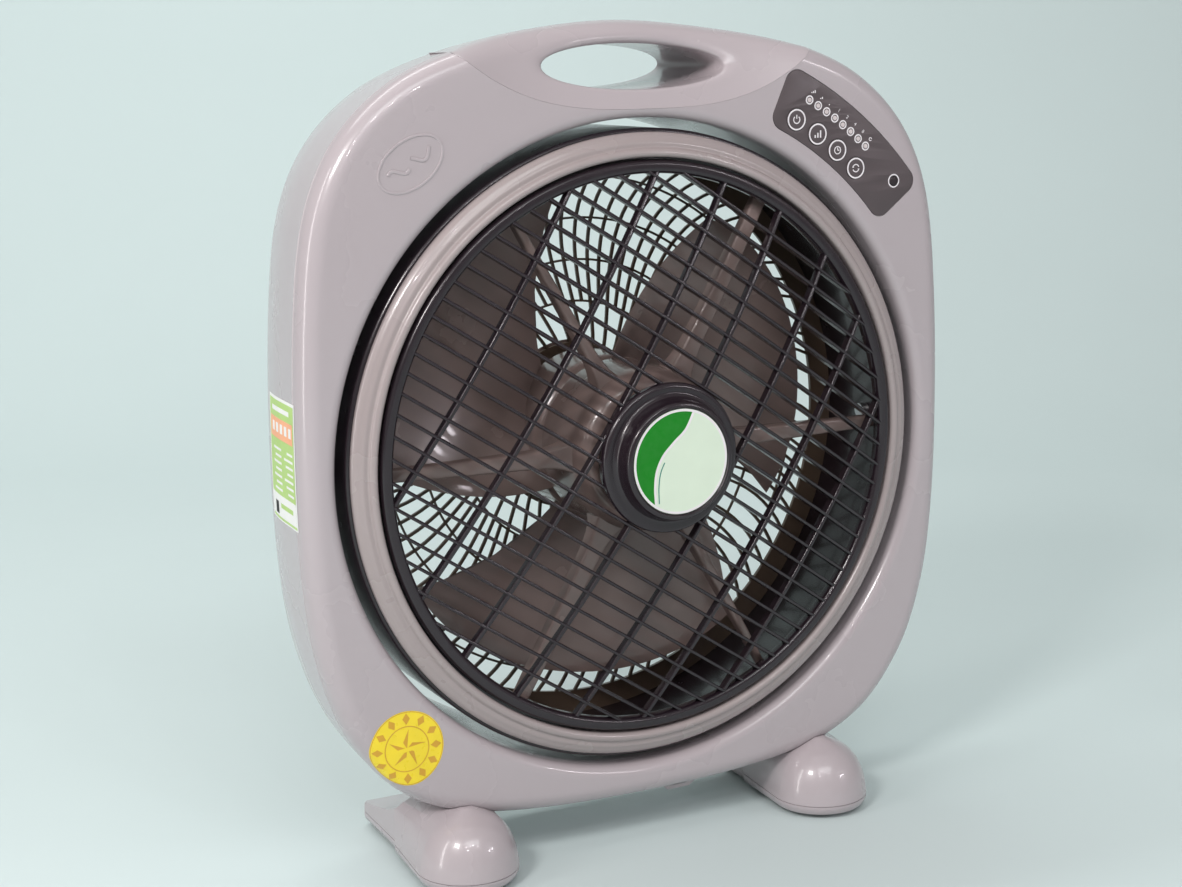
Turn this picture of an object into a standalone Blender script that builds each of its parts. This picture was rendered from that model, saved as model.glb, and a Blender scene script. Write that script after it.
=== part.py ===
"""A box fan: a tilting drum in an open frame, three wide blades and a slow turning front louver.

Metres, +Z up, front towards -Y. Every solid is placed from the centre of the round opening: x to the
right, y back from the front face, z up. The empty "opening_centre" carries that frame, and the moving
groups hang on empties that lie on their own axes.
"""

import math

import bmesh
import bpy
from mathutils import Vector
from mathutils.geometry import interpolate_bezier

MM = 0.001
GAP = 0.3 * MM
WALL = 2.5 * MM

# Where the opening's centre and the front face stand, with the origin under the middle of the fan.
CENTRE_HEIGHT = 271 * MM
FACE_Y = -41.3 * MM

# Frame
HALF_WIDTH = 237 * MM
TOP = 276.5 * MM
BOTTOM = -238.5 * MM
FRAME_DEPTH = 106 * MM
PARTING_Y = 15 * MM
OPENING_RADIUS = 215 * MM
LIP_FLARE = 7 * MM
OPENING_SIDES = 60

# Handle cover and its oval slot
HANDLE_HALF = 128 * MM
HANDLE_HOLLOW_HALF = 108 * MM
HANDLE_LOW = 220.5 * MM
HANDLE_END = 256.8 * MM
HANDLE_LEAN = 0.5
HANDLE_BACK = 46 * MM
HANDLE_STEPS = 16
SLOT_HALF = 66 * MM
SLOT_HALF_HEIGHT = 14.5 * MM
SLOT_Z = 247 * MM

# Control panel, as a band that follows the opening
PANEL_INNER = 228 * MM
PANEL_OUTER = 269 * MM
PANEL_FROM = math.radians(38.0)
PANEL_TO = math.radians(66.0)
PANEL_THICK = 1.2 * MM
BUTTON_CIRCLE = 239 * MM
BUTTON_RADIUS = 7.2 * MM
BUTTON_FIRST = math.radians(61.7)
BUTTON_STEP = math.radians(-4.65)
BUTTON_NAMES = ("power", "speed", "timer", "louver")
BUTTON_PROUD = 0.9 * MM
LED_CIRCLE = 255 * MM
LED_RADIUS = 1.6 * MM
LED_COUNT = 8
LED_FIRST = math.radians(61.0)
LED_STEP = math.radians(-1.77)
RECEIVER_CIRCLE = 254.7 * MM
RECEIVER_ANGLE = math.radians(41.0)
RECEIVER_RADIUS = 3.4 * MM
BOARD_Y = 9.5 * MM

# Screws through the rear shell, as radius and angle about the opening
SHELL_SCREWS = tuple(
    (radius * MM, math.radians(turn)) for radius, turn in ((247, 45), (247, 135), (239, -37), (239, -143))
)

SHELL_SCREW_SEAT = 40 * MM

# Feet
FOOT_X = 136 * MM
FOOT_SOLE = -267 * MM
GROUND = -CENTRE_HEIGHT
FOOT_NOSE_Y = 2
FOOT_STEP_Y = 56
# Levels of each foot from the sole up, in mm: height, radius of the round nose, half width of the flanks,
# back end.
FOOT_LEVELS = (
    (0, 31.5, 27.5, 125),
    (2, 33, 29, 126),
    (13, 33.2, 29, 125),
    (18, 32.2, 29, 102),
    (23, 30.7, 29, 80),
    (32, 26, 28.5, 60),
    (38, 20.3, 26, 54),
    (42, 13.7, 22, 50),
    (46.5, 4, 14, 46),
)
# Pads under each foot, in mm: where along y, width, length.
PADS = {"front": (-2, 40, 32), "rear": (100, 26, 18)}
PAD_SUNK = 2.5 * MM
FOOT_SCREW_Y = 34 * MM
FOOT_SCREW_SEAT = -240 * MM

# Hook for the cord under the frame: where it starts, and its outline and slot in mm from there.
CLIP_X = 18 * MM
CLIP_FRONT = 24 * MM
CLIP_BACK = 44 * MM
CLIP_GAP = 0.05 * MM
CLIP_OUTLINE = ((0, 0), (34, 0), (30, -5), (25, -8.5), (8, -8.5), (4, -5))
CLIP_SLOT = ((10, -2.6), (24, -2.6), (22, -6), (12, -6))

# Bushing that the cord leaves by, at the back
BUSHING_SPOT = (236 * MM, math.radians(-128))
BUSHING_Y = 88 * MM
BUSHING_BORE = 3.6 * MM
BUSHING_NECK = 6 * MM
BUSHING_HEAD = 9 * MM

# Bearings and pins that the drum tilts on
TILT_BUSH_HEAD = 10 * MM
TILT_BUSH_NECK = 8 * MM
TILT_BUSH_LONG = 6 * MM

# Drum, which tilts on two side pins
TILT_Y = 50 * MM
BARREL_RADIUS = 208.5 * MM
FLANGE_RADIUS = 186 * MM
BARREL_FRONT = 4.3 * MM
BARREL_BACK = 96 * MM
RING_OUTER = 206 * MM
RING_INNER = 190.3 * MM
RING_FRONT = -6 * MM
SPIDER_ARMS = 6
SPIDER_HUB_RADIUS = 55 * MM
SPIDER_FRONT = -10 * MM
SPIDER_BACK = 47 * MM
SPIDER_BORE = 17 * MM
ARM_FRONT = 6 * MM
ARM_BACK = 17 * MM
# Half widths of an arm and of its next two neighbours, in mm: at the hub and at the barrel.
ARM_HALF_WIDTHS = ((6, 4), (6, 5), (4, 2.5))
PIN_RADIUS = 5 * MM

# Impeller and motor
BLADE_COUNT = 3
BLADE_ROOT = 50 * MM
BLADE_TIP = 169 * MM
BLADE_FRONT = 48 * MM
BLADE_BACK = 93 * MM
BLADE_HALF_ANGLE = math.radians(43)
BLADE_ROOT_TURN = math.radians(52)
BLADE_SWEEP = math.radians(-32)
HUB_RADIUS = 56 * MM
HUB_FRONT = 52 * MM
HUB_BACK = 95 * MM
SHAFT_RADIUS = 4 * MM
MOTOR_RADIUS = 46 * MM
MOTOR_FRONT = 64 * MM
MOTOR_BACK = 117 * MM
ROTOR_RADIUS = 25 * MM
MOTOR_COVER_RADIUS = 60 * MM
MOTOR_COVER_FRONT = 113.4 * MM
MOTOR_COVER_BACK = 122 * MM

# Rear guard, domed to the back
GUARD_Y = BARREL_BACK + GAP
GUARD_THICK = 2.6 * MM
GUARD_DOME = 15 * MM
GUARD_RIM = 190 * MM
GUARD_RINGS = (58 * MM, 87 * MM, 135 * MM, 187 * MM)
GUARD_SPOKES = (40, 80, 80)
GUARD_BAR = 2.6 * MM
GUARD_BEND = math.radians(0.0021)
GUARD_BEND_RADIUS = 135 * MM

# Louver: a domed grille of parallel slats that turns in front of the blades
LOUVER_RADIUS = 188.5 * MM
LOUVER_RIM = 180 * MM
LOUVER_BACK = 3.0 * MM
LOUVER_DEPTH = 7 * MM
LOUVER_DOME = 25 * MM
LOUVER_TURN = math.radians(-33.5)
SLAT_PITCH = 12.6 * MM
SLAT_COUNT = 27
SLAT_THICK = 1.8 * MM
BAR_PITCH = 47 * MM
BAR_COUNT = 7
BAR_THICK = 2.6 * MM
CAP_RADIUS = 49 * MM
CAP_CUP_RADIUS = 38.5 * MM
CAP_BACK = -22.5 * MM
CAP_FLANGE_FRONT = -31 * MM
CAP_FRONT = -43 * MM
LABEL_RADIUS = 34 * MM

# One half of the frame's outline, from the top to the bottom, seen from the front.
HALF_OUTLINE = (
    (0, TOP),
    (69 * MM, 270.5 * MM),
    (120 * MM, 260 * MM),
    (167 * MM, 240.5 * MM),
    (203.5 * MM, 207.5 * MM),
    (224.5 * MM, 164 * MM),
    (233.8 * MM, 100 * MM),
    (HALF_WIDTH, 0),
    (234 * MM, -75 * MM),
    (225.5 * MM, -125 * MM),
    (207.5 * MM, -170 * MM),
    (172 * MM, -210 * MM),
    (118 * MM, -231 * MM),
    (0, BOTTOM),
)


# ---------------------------------------------------------------- scene helpers


def clear_scene():
    for obj in list(bpy.data.objects):
        bpy.data.objects.remove(obj, do_unlink=True)


def collection(name):
    made = bpy.data.collections.new(name)
    bpy.context.scene.collection.children.link(made)
    return made


def material(name, colour, roughness, metallic=0.0):
    made = bpy.data.materials.new(name)
    made.use_nodes = True
    shader = made.node_tree.nodes["Principled BSDF"]
    shader.inputs["Base Color"].default_value = (*colour, 1.0)
    shader.inputs["Roughness"].default_value = roughness
    shader.inputs["Metallic"].default_value = metallic
    return made


def empty(name, at, parent=None):
    made = bpy.data.objects.new(name, None)
    PARTS.objects.link(made)
    made.location = at
    made.parent = parent
    return made


def finish(name, bm, look, parent, at=(0, 0, 0)):
    """Turns a bmesh into an object: a part with a material, or a hidden cutter when look is None."""
    bmesh.ops.recalc_face_normals(bm, faces=bm.faces[:])
    mesh = bpy.data.meshes.new(name)
    bm.to_mesh(mesh)
    bm.free()
    return place(name, mesh, look, parent, at)


def place(name, data, look, parent, at=(0, 0, 0)):
    obj = bpy.data.objects.new(name, data)
    obj.parent = parent
    obj.location = at
    if look is None:
        CUTTERS.objects.link(obj)
        obj.hide_render = True
        obj.display_type = "WIRE"
    else:
        PARTS.objects.link(obj)
        data.materials.append(look)
    return obj


def combine(obj, other, operation="DIFFERENCE"):
    modifier = obj.modifiers.new(operation.lower(), "BOOLEAN")
    modifier.operation = operation
    modifier.solver = "EXACT"
    modifier.object = other
    return obj


def baked(obj):
    """The object's mesh with its modifiers applied, doubles merged and faces split into triangles."""
    bpy.context.view_layer.update()
    graph = bpy.context.evaluated_depsgraph_get()
    bm = bmesh.new()
    bm.from_mesh(bpy.data.meshes.new_from_object(obj.evaluated_get(graph)))
    bmesh.ops.remove_doubles(bm, verts=bm.verts[:], dist=0.01 * MM)
    bmesh.ops.triangulate(bm, faces=bm.faces[:])
    return bm


# ---------------------------------------------------------------- shapes


def turned(name, profile, look, parent, at=(0, 0, 0), steps=64):
    """A lathe shape about the Y axis. The profile is a closed loop of (radius, y)."""
    mesh = bpy.data.meshes.new(name)
    count = len(profile)
    area = sum(
        profile[i][0] * profile[(i + 1) % count][1] - profile[(i + 1) % count][0] * profile[i][1]
        for i in range(count)
    )
    points = [(radius, y, 0) for radius, y in profile]
    edges = [(i, (i + 1) % count) for i in range(count)]
    on_axis = [i for i in range(count) if profile[i][0] == 0]
    if len(on_axis) == 2:
        edges = [edge for edge in edges if set(edge) != set(on_axis)]
    mesh.from_pydata(points, edges, [])
    obj = place(name, mesh, look, parent, at)
    screw = obj.modifiers.new("lathe", "SCREW")
    screw.axis = "Y"
    screw.steps = steps
    screw.render_steps = steps
    screw.use_merge_vertices = True
    screw.merge_threshold = 1e-5
    screw.use_normal_flip = area > 0
    return obj


def cylinder(name, radius, y0, y1, look, parent, at=(0, 0, 0), sides=32):
    """A cylinder along Y from y0 to y1."""
    bm = bmesh.new()
    bmesh.ops.create_cone(bm, cap_ends=True, segments=sides, radius1=radius, radius2=radius, depth=y1 - y0)
    for vert in bm.verts:
        vert.co = (vert.co.x, vert.co.z + (y0 + y1) / 2, -vert.co.y)
    return finish(name, bm, look, parent, at)


def box(name, size, look, parent, at=(0, 0, 0)):
    bm = bmesh.new()
    bmesh.ops.create_cube(bm, size=1)
    bmesh.ops.scale(bm, vec=size, verts=bm.verts[:])
    return finish(name, bm, look, parent, at)


def loft(name, rings, look, parent, at=(0, 0, 0)):
    """A solid through rings of points: the first is extruded to each next one, and both ends are capped."""
    bm = bmesh.new()
    verts = [bm.verts.new(point) for point in rings[0]]
    edges = [bm.edges.new((a, b)) for a, b in zip(verts, verts[1:] + verts[:1])]
    bmesh.ops.contextual_create(bm, geom=edges)
    for ring in rings[1:]:
        made = bmesh.ops.extrude_edge_only(bm, edges=edges)["geom"]
        moved = [item for item in made if isinstance(item, bmesh.types.BMVert)]
        for vert, point in zip(moved, ring):
            vert.co = point
        edges = [
            item
            for item in made
            if isinstance(item, bmesh.types.BMEdge) and all(v in moved for v in item.verts)
        ]
    bmesh.ops.contextual_create(bm, geom=edges)
    return finish(name, bm, look, parent, at)


def flat(name, outline, holes, y0, y1, look, parent):
    """A 2D outline of (x, z) points with holes, as a solid from y0 to y1."""
    curve = bpy.data.curves.new(name, "CURVE")
    curve.dimensions = "2D"
    curve.fill_mode = "BOTH"
    curve.extrude = (y1 - y0) / 2
    for loop in (outline, *holes):
        spline = curve.splines.new("POLY")
        spline.points.add(len(loop) - 1)
        for point, (x, z) in zip(spline.points, loop):
            point.co = (x, z, 0, 1)
        spline.use_cyclic_u = True
    drawn = bpy.data.objects.new(name + "_drawn", curve)
    CUTTERS.objects.link(drawn)
    bm = baked(drawn)
    bpy.data.objects.remove(drawn, do_unlink=True)
    for vert in bm.verts:
        vert.co = (vert.co.x, (y0 + y1) / 2 - vert.co.z, vert.co.y)
    return finish(name, bm, look, parent)


def smooth_loop(anchors, pieces):
    """A closed smooth loop through the anchors, with each stretch split into that many pieces."""
    count = len(anchors)
    points = [Vector((x, z, 0)) for x, z in anchors]
    tangents = [(points[(i + 1) % count] - points[i - 1]).normalized() for i in range(count)]
    loop = []
    for i in range(count):
        start, end = points[i], points[(i + 1) % count]
        reach = (end - start).length / 3
        handle = start + tangents[i] * reach
        other = end - tangents[(i + 1) % count] * reach
        loop += interpolate_bezier(start, handle, other, end, pieces + 1)[:-1]
    return [(point.x, point.y) for point in loop]


def frame_outline(inset, pieces=2):
    """The frame's outline, moved inwards by the inset."""
    left = [(-x, z) for x, z in reversed(HALF_OUTLINE[1:-1])]
    loop = smooth_loop(list(HALF_OUTLINE) + left, pieces)
    moved = []
    for i, (x, z) in enumerate(loop):
        before, after = loop[i - 1], loop[(i + 1) % len(loop)]
        along = Vector((after[0] - before[0], after[1] - before[1])).normalized()
        moved.append((x + along.y * inset, z - along.x * inset))
    return moved


def frame_rings(sections):
    return [[(x, y, z) for x, z in frame_outline(inset)] for y, inset in sections]


def arc(radius, start, end, count):
    angles = [start + (end - start) * i / (count - 1) for i in range(count)]
    return [(radius * math.cos(a), radius * math.sin(a)) for a in angles]


def polar(radius, angle, y=0.0):
    return (radius * math.cos(angle), y, radius * math.sin(angle))


def on_face(radius, angle):
    return (radius * math.cos(angle), radius * math.sin(angle))


def round_loop(radius, count, at=(0, 0)):
    loop = arc(radius, 0, math.tau * (1 - 1 / count), count)
    return [(x + at[0], z + at[1]) for x, z in loop]


def capsule_screw(name, head_radius, head_y, shank_radius, shank_y, direction, parent, at):
    """A pan-head screw along Y. Direction is +1 when its head is at the larger y."""
    head_end = head_y + direction * 2.2 * MM
    profile = [
        (0, shank_y),
        (shank_radius, shank_y),
        (shank_radius, head_y),
        (head_radius, head_y),
        (head_radius * 0.8, head_end),
        (0, head_end),
    ]
    return turned(name, profile, STEEL, parent, at, steps=10)


# ---------------------------------------------------------------- frame

FRONT_OUTER = ((PARTING_Y, 0), (6 * MM, 1 * MM), (1.5 * MM, 5 * MM), (0, 12 * MM))
BACK_OUTER = (
    (PARTING_Y + GAP, 0),
    (65 * MM, 3.5 * MM),
    (87 * MM, 8.5 * MM),
    (99 * MM, 17 * MM),
    (FRAME_DEPTH, 34 * MM),
)


def frame_outer(name, look, parent, front, grow=0.0):
    """The frame's outer solid: the front tray or the back tub, grown by a gap when it is a cutter."""
    sections = FRONT_OUTER if front else BACK_OUTER
    step = -grow if front else grow
    last = len(sections) - 1
    rings = [(y + (step if i == last else 0), inset - grow) for i, (y, inset) in enumerate(sections)]
    if grow:
        rings[0] = (PARTING_Y + (1 if front else -1) * MM, rings[0][1])
    return loft(name, frame_rings(rings), look, parent)


def frame_body(name, parent):
    """The whole frame's outer solid, front and back in one, as a cutter."""
    return loft(name, frame_rings(FRONT_OUTER[::-1] + BACK_OUTER[1:]), None, parent)


def frame_cavity(name, parent, front):
    """The hollow of a shell, less the wall round the opening."""
    sections = FRONT_OUTER if front else BACK_OUTER
    step = WALL if front else -WALL
    last = len(sections) - 1
    rings = []
    for i, (y, inset) in enumerate(sections):
        back = step if i >= last - 1 else step / 2
        rings.append((y + back, inset + WALL))
    rings[0] = (PARTING_Y + (MM if front else -MM), WALL)
    hollow = loft(name, frame_rings(rings), None, parent)
    core = cylinder(
        name + "_core", OPENING_RADIUS + WALL, -MM, FRAME_DEPTH + MM, None, parent, sides=OPENING_SIDES
    )
    return combine(hollow, core)


def opening_cutter(parent):
    """The round hole through the frame, flared at the front into a rounded lip."""
    profile = [(0, -MM), (OPENING_RADIUS + LIP_FLARE, -MM)]
    for i in range(4):
        turn = math.radians(90 * i / 3)
        flare = LIP_FLARE * (1 - math.sin(turn))
        profile.append((OPENING_RADIUS + flare, LIP_FLARE * (1 - math.cos(turn))))
    profile += [(OPENING_RADIUS, FRAME_DEPTH + MM), (0, FRAME_DEPTH + MM)]
    return turned("opening_cutter", profile, None, parent, steps=OPENING_SIDES)


def handle_arc(x):
    """Height of the handle cover's lower edge at x."""
    return HANDLE_LOW + (HANDLE_END - HANDLE_LOW) * abs(x / HANDLE_HALF) ** 3


def outline_top(x):
    """Height of the frame's outline above x."""
    upper = sorted(point for point in frame_outline(0) if point[1] > HANDLE_LOW)
    for (x0, z0), (x1, z1) in zip(upper, upper[1:]):
        if x0 <= x <= x1:
            return z0 + (z1 - z0) * (x - x0) / (x1 - x0)
    return HANDLE_END


def handle_blank(name, look, parent, half, wall, top_gap, back, lean):
    """The lens-shaped piece at the top of the frame, as sections along x. Its front leans back."""
    rings = []
    for i in range(HANDLE_STEPS + 1):
        x = half * (2 * i / HANDLE_STEPS - 1)
        low = handle_arc(x) + wall
        high = outline_top(x) - top_gap
        leaning = wall + lean * (high - low)
        rings.append([(x, wall, low), (x, leaning, high), (x, back, high), (x, back, low)])
    return loft(name, rings, look, parent)


def slot_loop(grow, count=32):
    return [
        ((SLOT_HALF + grow) * math.cos(a), SLOT_Z + (SLOT_HALF_HEIGHT + grow) * math.sin(a))
        for a in [math.tau * (i + 0.5) / count for i in range(count)]
    ]


def make_shells(parent):
    hole = opening_cutter(parent)
    over = -6 * MM
    notch = handle_blank("handle_notch", None, parent, HANDLE_HALF + GAP, -GAP, over, HANDLE_BACK + GAP, 0)
    slot = flat("slot_cutter", slot_loop(0), (), -MM, FRAME_DEPTH + MM, None, parent)
    slot_wall = flat("slot_wall", slot_loop(WALL), (), -MM, FRAME_DEPTH + MM, None, parent)

    front = frame_outer("front_shell", SHELL, parent, True)
    combine(front, frame_cavity("front_cavity", parent, True))
    combine(front, hole)
    combine(front, notch)

    back = frame_outer("rear_shell", SHELL, parent, False)
    hollow = frame_cavity("rear_cavity", parent, False)
    combine(hollow, slot_wall)
    for number, spot in enumerate(SHELL_SCREWS, 1):
        sleeve = cylinder(
            f"shell_sleeve_{number}", 7 * MM, 0, FRAME_DEPTH + MM, None, parent, polar(*spot), 12
        )
        combine(hollow, sleeve)
    combine(back, hollow)
    combine(back, hole)
    combine(back, notch)
    combine(back, slot)

    cover = handle_blank("handle_cover", SHELL, parent, HANDLE_HALF, 0, over, HANDLE_BACK, HANDLE_LEAN)
    inside = handle_blank(
        "handle_cavity", None, parent, HANDLE_HOLLOW_HALF, WALL, 2 * WALL, HANDLE_BACK + MM, HANDLE_LEAN
    )
    combine(inside, slot_wall)
    combine(cover, frame_body("handle_trim", parent), "INTERSECT")
    combine(cover, inside)
    combine(cover, slot)
    return front, back


def panel_loop(shrink, corner):
    """The control panel's outline: a band between two arcs about the opening, with rounded ends."""
    inner = PANEL_INNER + shrink
    outer = PANEL_OUTER - shrink
    skew = shrink / 250e-3
    start = PANEL_FROM + skew
    end = PANEL_TO - skew
    loop = []
    for radius, angle, turn in (
        (inner, start, (-1, 1)),
        (outer, start, (1, 1)),
        (outer, end, (1, -1)),
        (inner, end, (-1, -1)),
    ):
        radial = 1 if radius == outer else -1
        side = 1 if angle == start else -1
        pivot = (radius - radial * corner, angle + side * corner / radius)
        fan = [math.radians(90 * i / 4) for i in range(5)]
        stretch = []
        for a in fan:
            out = math.sin(a) if radial * side > 0 else math.cos(a)
            along = math.cos(a) if radial * side > 0 else math.sin(a)
            spot_radius = pivot[0] + radial * corner * out
            spot_angle = pivot[1] - side * corner * along / radius
            stretch.append((spot_radius, spot_angle))
        loop += stretch
        if radius == outer and side > 0:
            loop += between(stretch[-1], (outer, end - corner / outer))
        if radius == inner and side < 0:
            loop += between(stretch[-1], (inner, start + corner / inner))
    return [(r * math.cos(a), r * math.sin(a)) for r, a in loop]


def between(start, end, count=6):
    return [
        (start[0] + (end[0] - start[0]) * i / count, start[1] + (end[1] - start[1]) * i / count)
        for i in range(1, count)
    ]


def button_spots():
    return [(BUTTON_CIRCLE, BUTTON_FIRST + BUTTON_STEP * i) for i in range(len(BUTTON_NAMES))]


def led_spots():
    return [(LED_CIRCLE, LED_FIRST + LED_STEP * i) for i in range(LED_COUNT)]


def make_controls(front, parent):
    recess = flat("panel_recess", panel_loop(-GAP, 9 * MM), (), -MM, PANEL_THICK, None, parent)
    combine(front, recess)
    window = flat("panel_window", panel_loop(2.5 * MM, 6.5 * MM), (), 0, 3.4 * MM, None, parent)
    combine(front, window)

    holes = [round_loop(BUTTON_RADIUS + GAP, 16, on_face(*spot)) for spot in button_spots()]
    holes += [round_loop(LED_RADIUS + GAP, 8, on_face(*spot)) for spot in led_spots()]
    receiver = (RECEIVER_CIRCLE, RECEIVER_ANGLE)
    holes.append(round_loop(RECEIVER_RADIUS + GAP, 14, on_face(*receiver)))
    flat("control_panel", panel_loop(0, 9 * MM), holes, -0.2 * MM, PANEL_THICK - GAP, PANEL, parent)

    for name, spot in zip(BUTTON_NAMES, button_spots()):
        profile = [
            (0, -BUTTON_PROUD),
            (BUTTON_RADIUS - 1.4 * MM, -BUTTON_PROUD),
            (BUTTON_RADIUS, -0.2 * MM),
            (BUTTON_RADIUS, 2.4 * MM),
            (2 * MM, 2.4 * MM),
            (2 * MM, 4.4 * MM),
            (0, 4.4 * MM),
        ]
        turned(name + "_button", profile, PANEL, parent, polar(*spot), steps=16)
        behind = polar(*spot, BOARD_Y - 2 * MM)
        switch = box(name + "_switch", (6 * MM, 3.4 * MM, 6 * MM), BLACK, parent, behind)
        switch.rotation_euler.y = -spot[1]

    guide_from = LED_FIRST + 0.02
    guide_to = LED_FIRST + LED_STEP * (LED_COUNT - 1) - 0.02
    band = arc(LED_CIRCLE + 3 * MM, guide_from, guide_to, 9)
    band += arc(LED_CIRCLE - 3 * MM, guide_to, guide_from, 9)
    guide = flat("light_guide", band, (), 2 * MM, 4.4 * MM, CLEAR, parent)
    for i, spot in enumerate(led_spots()):
        at = polar(*spot)
        post = cylinder(f"light_post_{i + 1}", LED_RADIUS, -0.5 * MM, 3 * MM, None, parent, at, sides=8)
        combine(guide, post, "UNION")
    cylinder("receiver_window", RECEIVER_RADIUS, -0.5 * MM, 4 * MM, SMOKE, parent, polar(*receiver), sides=14)

    board_from = PANEL_FROM + 0.05
    board_to = PANEL_TO - 0.05
    board = arc(PANEL_OUTER - 8 * MM, board_from, board_to, 7)
    board += arc(PANEL_INNER + 5 * MM, board_to, board_from, 7)
    flat("circuit_board", board, (), BOARD_Y, BOARD_Y + 1.6 * MM, BOARD, parent)


def foot_rings(side):
    """Level outlines of one foot, from the sole up: round nose, flat flanks, a narrower heel behind a step."""
    rings = []
    for height, nose, flank, end in FOOT_LEVELS:
        turns = [math.radians(180 + 15 * k) for k in range(13)]
        outline = [(nose * math.cos(turn), FOOT_NOSE_Y + nose * math.sin(turn)) for turn in turns]
        step = min(FOOT_STEP_Y, end - 6)
        right = [(flank, step), (flank - 2.5, step + 1.5), (flank - 4, end - 3), (flank - 7, end)]
        outline += right + [(-x, y) for x, y in reversed(right)]
        rings.append([(side * FOOT_X + x * MM, y * MM, FOOT_SOLE + height * MM) for x, y in outline])
    return rings


def make_feet(back, parent):
    body_front = frame_outer("body_front_grown", None, parent, True, GAP)
    body_back = frame_outer("body_back_grown", None, parent, False, GAP)
    for side, word in ((-1, "left"), (1, "right")):
        foot = loft(word + "_foot", foot_rings(side), SHELL, parent)
        combine(foot, body_front)
        combine(foot, body_back)
        for end, (y, width, length) in PADS.items():
            name = f"{end}_{word}_pad"
            top = FOOT_SOLE + PAD_SUNK
            around = (width * MM + 2 * GAP, length * MM + 2 * GAP)
            seat = pad_solid(name + "_seat", *around, GROUND, top, None, parent)
            seat.location = (side * FOOT_X, y * MM, 0)
            combine(foot, seat)
            pad = pad_solid(name, width * MM, length * MM, GROUND, top - GAP, RUBBER, parent)
            pad.location = (side * FOOT_X, y * MM, 0)
        make_foot_screw(word, side, foot, back, parent)


def pad_solid(name, width, length, z0, z1, look, parent):
    """An upright oval disc, for a rubber pad and for its seat."""
    bm = bmesh.new()
    bmesh.ops.create_cone(bm, cap_ends=True, segments=16, radius1=0.5, radius2=0.5, depth=z1 - z0)
    bmesh.ops.scale(bm, vec=(width, length, 1), verts=bm.verts[:])
    bmesh.ops.translate(bm, vec=(0, 0, (z0 + z1) / 2), verts=bm.verts[:])
    return finish(name, bm, look, parent)


def make_foot_screw(word, side, foot, back, parent):
    """A screw from under the foot into the frame's floor, in a pocket."""
    at = Vector((side * FOOT_X, FOOT_SCREW_Y, 0))
    pocket = cylinder(word + "_screw_pocket", 5 * MM, 0, 40 * MM, None, parent, sides=16)
    pocket.rotation_euler.x = math.radians(-90)
    pocket.location = at + Vector((0, 0, FOOT_SCREW_SEAT))
    bore = cylinder(word + "_screw_bore", 2.2 * MM, 0, 60 * MM, None, parent, sides=12)
    bore.rotation_euler.x = math.radians(-90)
    bore.location = at + Vector((0, 0, FOOT_SCREW_SEAT + 30 * MM))
    combine(foot, pocket)
    combine(foot, bore)
    combine(back, bore)
    screw = capsule_screw(word + "_foot_screw", 3.8 * MM, 0, 1.8 * MM, -24 * MM, 1, parent, (0, 0, 0))
    screw.rotation_euler.x = math.radians(-90)
    screw.location = at + Vector((0, 0, FOOT_SCREW_SEAT - GAP))


def make_frame_details(back, parent):
    """Screws that hold the two shells, the cord bushing, the clip underneath and the tilt bushes."""
    for number, spot in enumerate(SHELL_SCREWS, 1):
        at = polar(*spot)
        past = FRAME_DEPTH + 5 * MM
        pocket = cylinder(f"screw_pocket_{number}", 4.6 * MM, SHELL_SCREW_SEAT, past, None, parent, at, 12)
        bore = cylinder(f"screw_bore_{number}", 2.1 * MM, PARTING_Y - MM, FRAME_DEPTH, None, parent, at, 10)
        combine(back, pocket)
        combine(back, bore)
        capsule_screw(
            f"shell_screw_{number}", 4 * MM, SHELL_SCREW_SEAT + GAP, 1.8 * MM, PARTING_Y + MM, 1, parent, at
        )

    bushing_at = polar(*BUSHING_SPOT)
    hole = cylinder(
        "bushing_hole", BUSHING_NECK + GAP, 60 * MM, FRAME_DEPTH + 5 * MM, None, parent, bushing_at, 20
    )
    combine(back, hole)
    bushing = [
        (BUSHING_BORE, BUSHING_Y),
        (BUSHING_NECK, BUSHING_Y),
        (BUSHING_NECK, BUSHING_Y + 19 * MM),
        (BUSHING_HEAD, BUSHING_Y + 19 * MM),
        (BUSHING_HEAD - MM, BUSHING_Y + 23 * MM),
        (BUSHING_BORE, BUSHING_Y + 23 * MM),
    ]
    turned("cord_bushing", bushing, BLACK, parent, bushing_at, steps=14)

    for side, word in ((-1, "left"), (1, "right")):
        bush = [
            (PIN_RADIUS + GAP, 0),
            (TILT_BUSH_HEAD, 0),
            (TILT_BUSH_HEAD, 1.6 * MM),
            (TILT_BUSH_NECK, 1.6 * MM),
            (TILT_BUSH_NECK, TILT_BUSH_LONG),
            (PIN_RADIUS + GAP, TILT_BUSH_LONG),
        ]
        made = turned(word + "_tilt_bush", bush, BLACK, parent, steps=16)
        made.rotation_euler.z = math.radians(90 if side < 0 else -90)
        made.location = (side * (OPENING_RADIUS - 2.5 * MM), TILT_Y, 0)
        seat = cylinder(word + "_bush_seat", TILT_BUSH_NECK + GAP, -2 * MM, 9 * MM, None, parent, sides=24)
        seat.rotation_euler.z = made.rotation_euler.z
        seat.location = made.location
        combine(back, seat)


def make_clip(parent):
    """A small hook under the frame that the cord tucks behind."""
    outline = [(CLIP_X + x * MM, BOTTOM - CLIP_GAP + z * MM) for x, z in CLIP_OUTLINE]
    slot = [(CLIP_X + x * MM, BOTTOM + z * MM) for x, z in CLIP_SLOT]
    flat("cord_clip", outline, (slot,), CLIP_FRONT, CLIP_BACK, SHELL, parent)


# ---------------------------------------------------------------- drum


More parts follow.
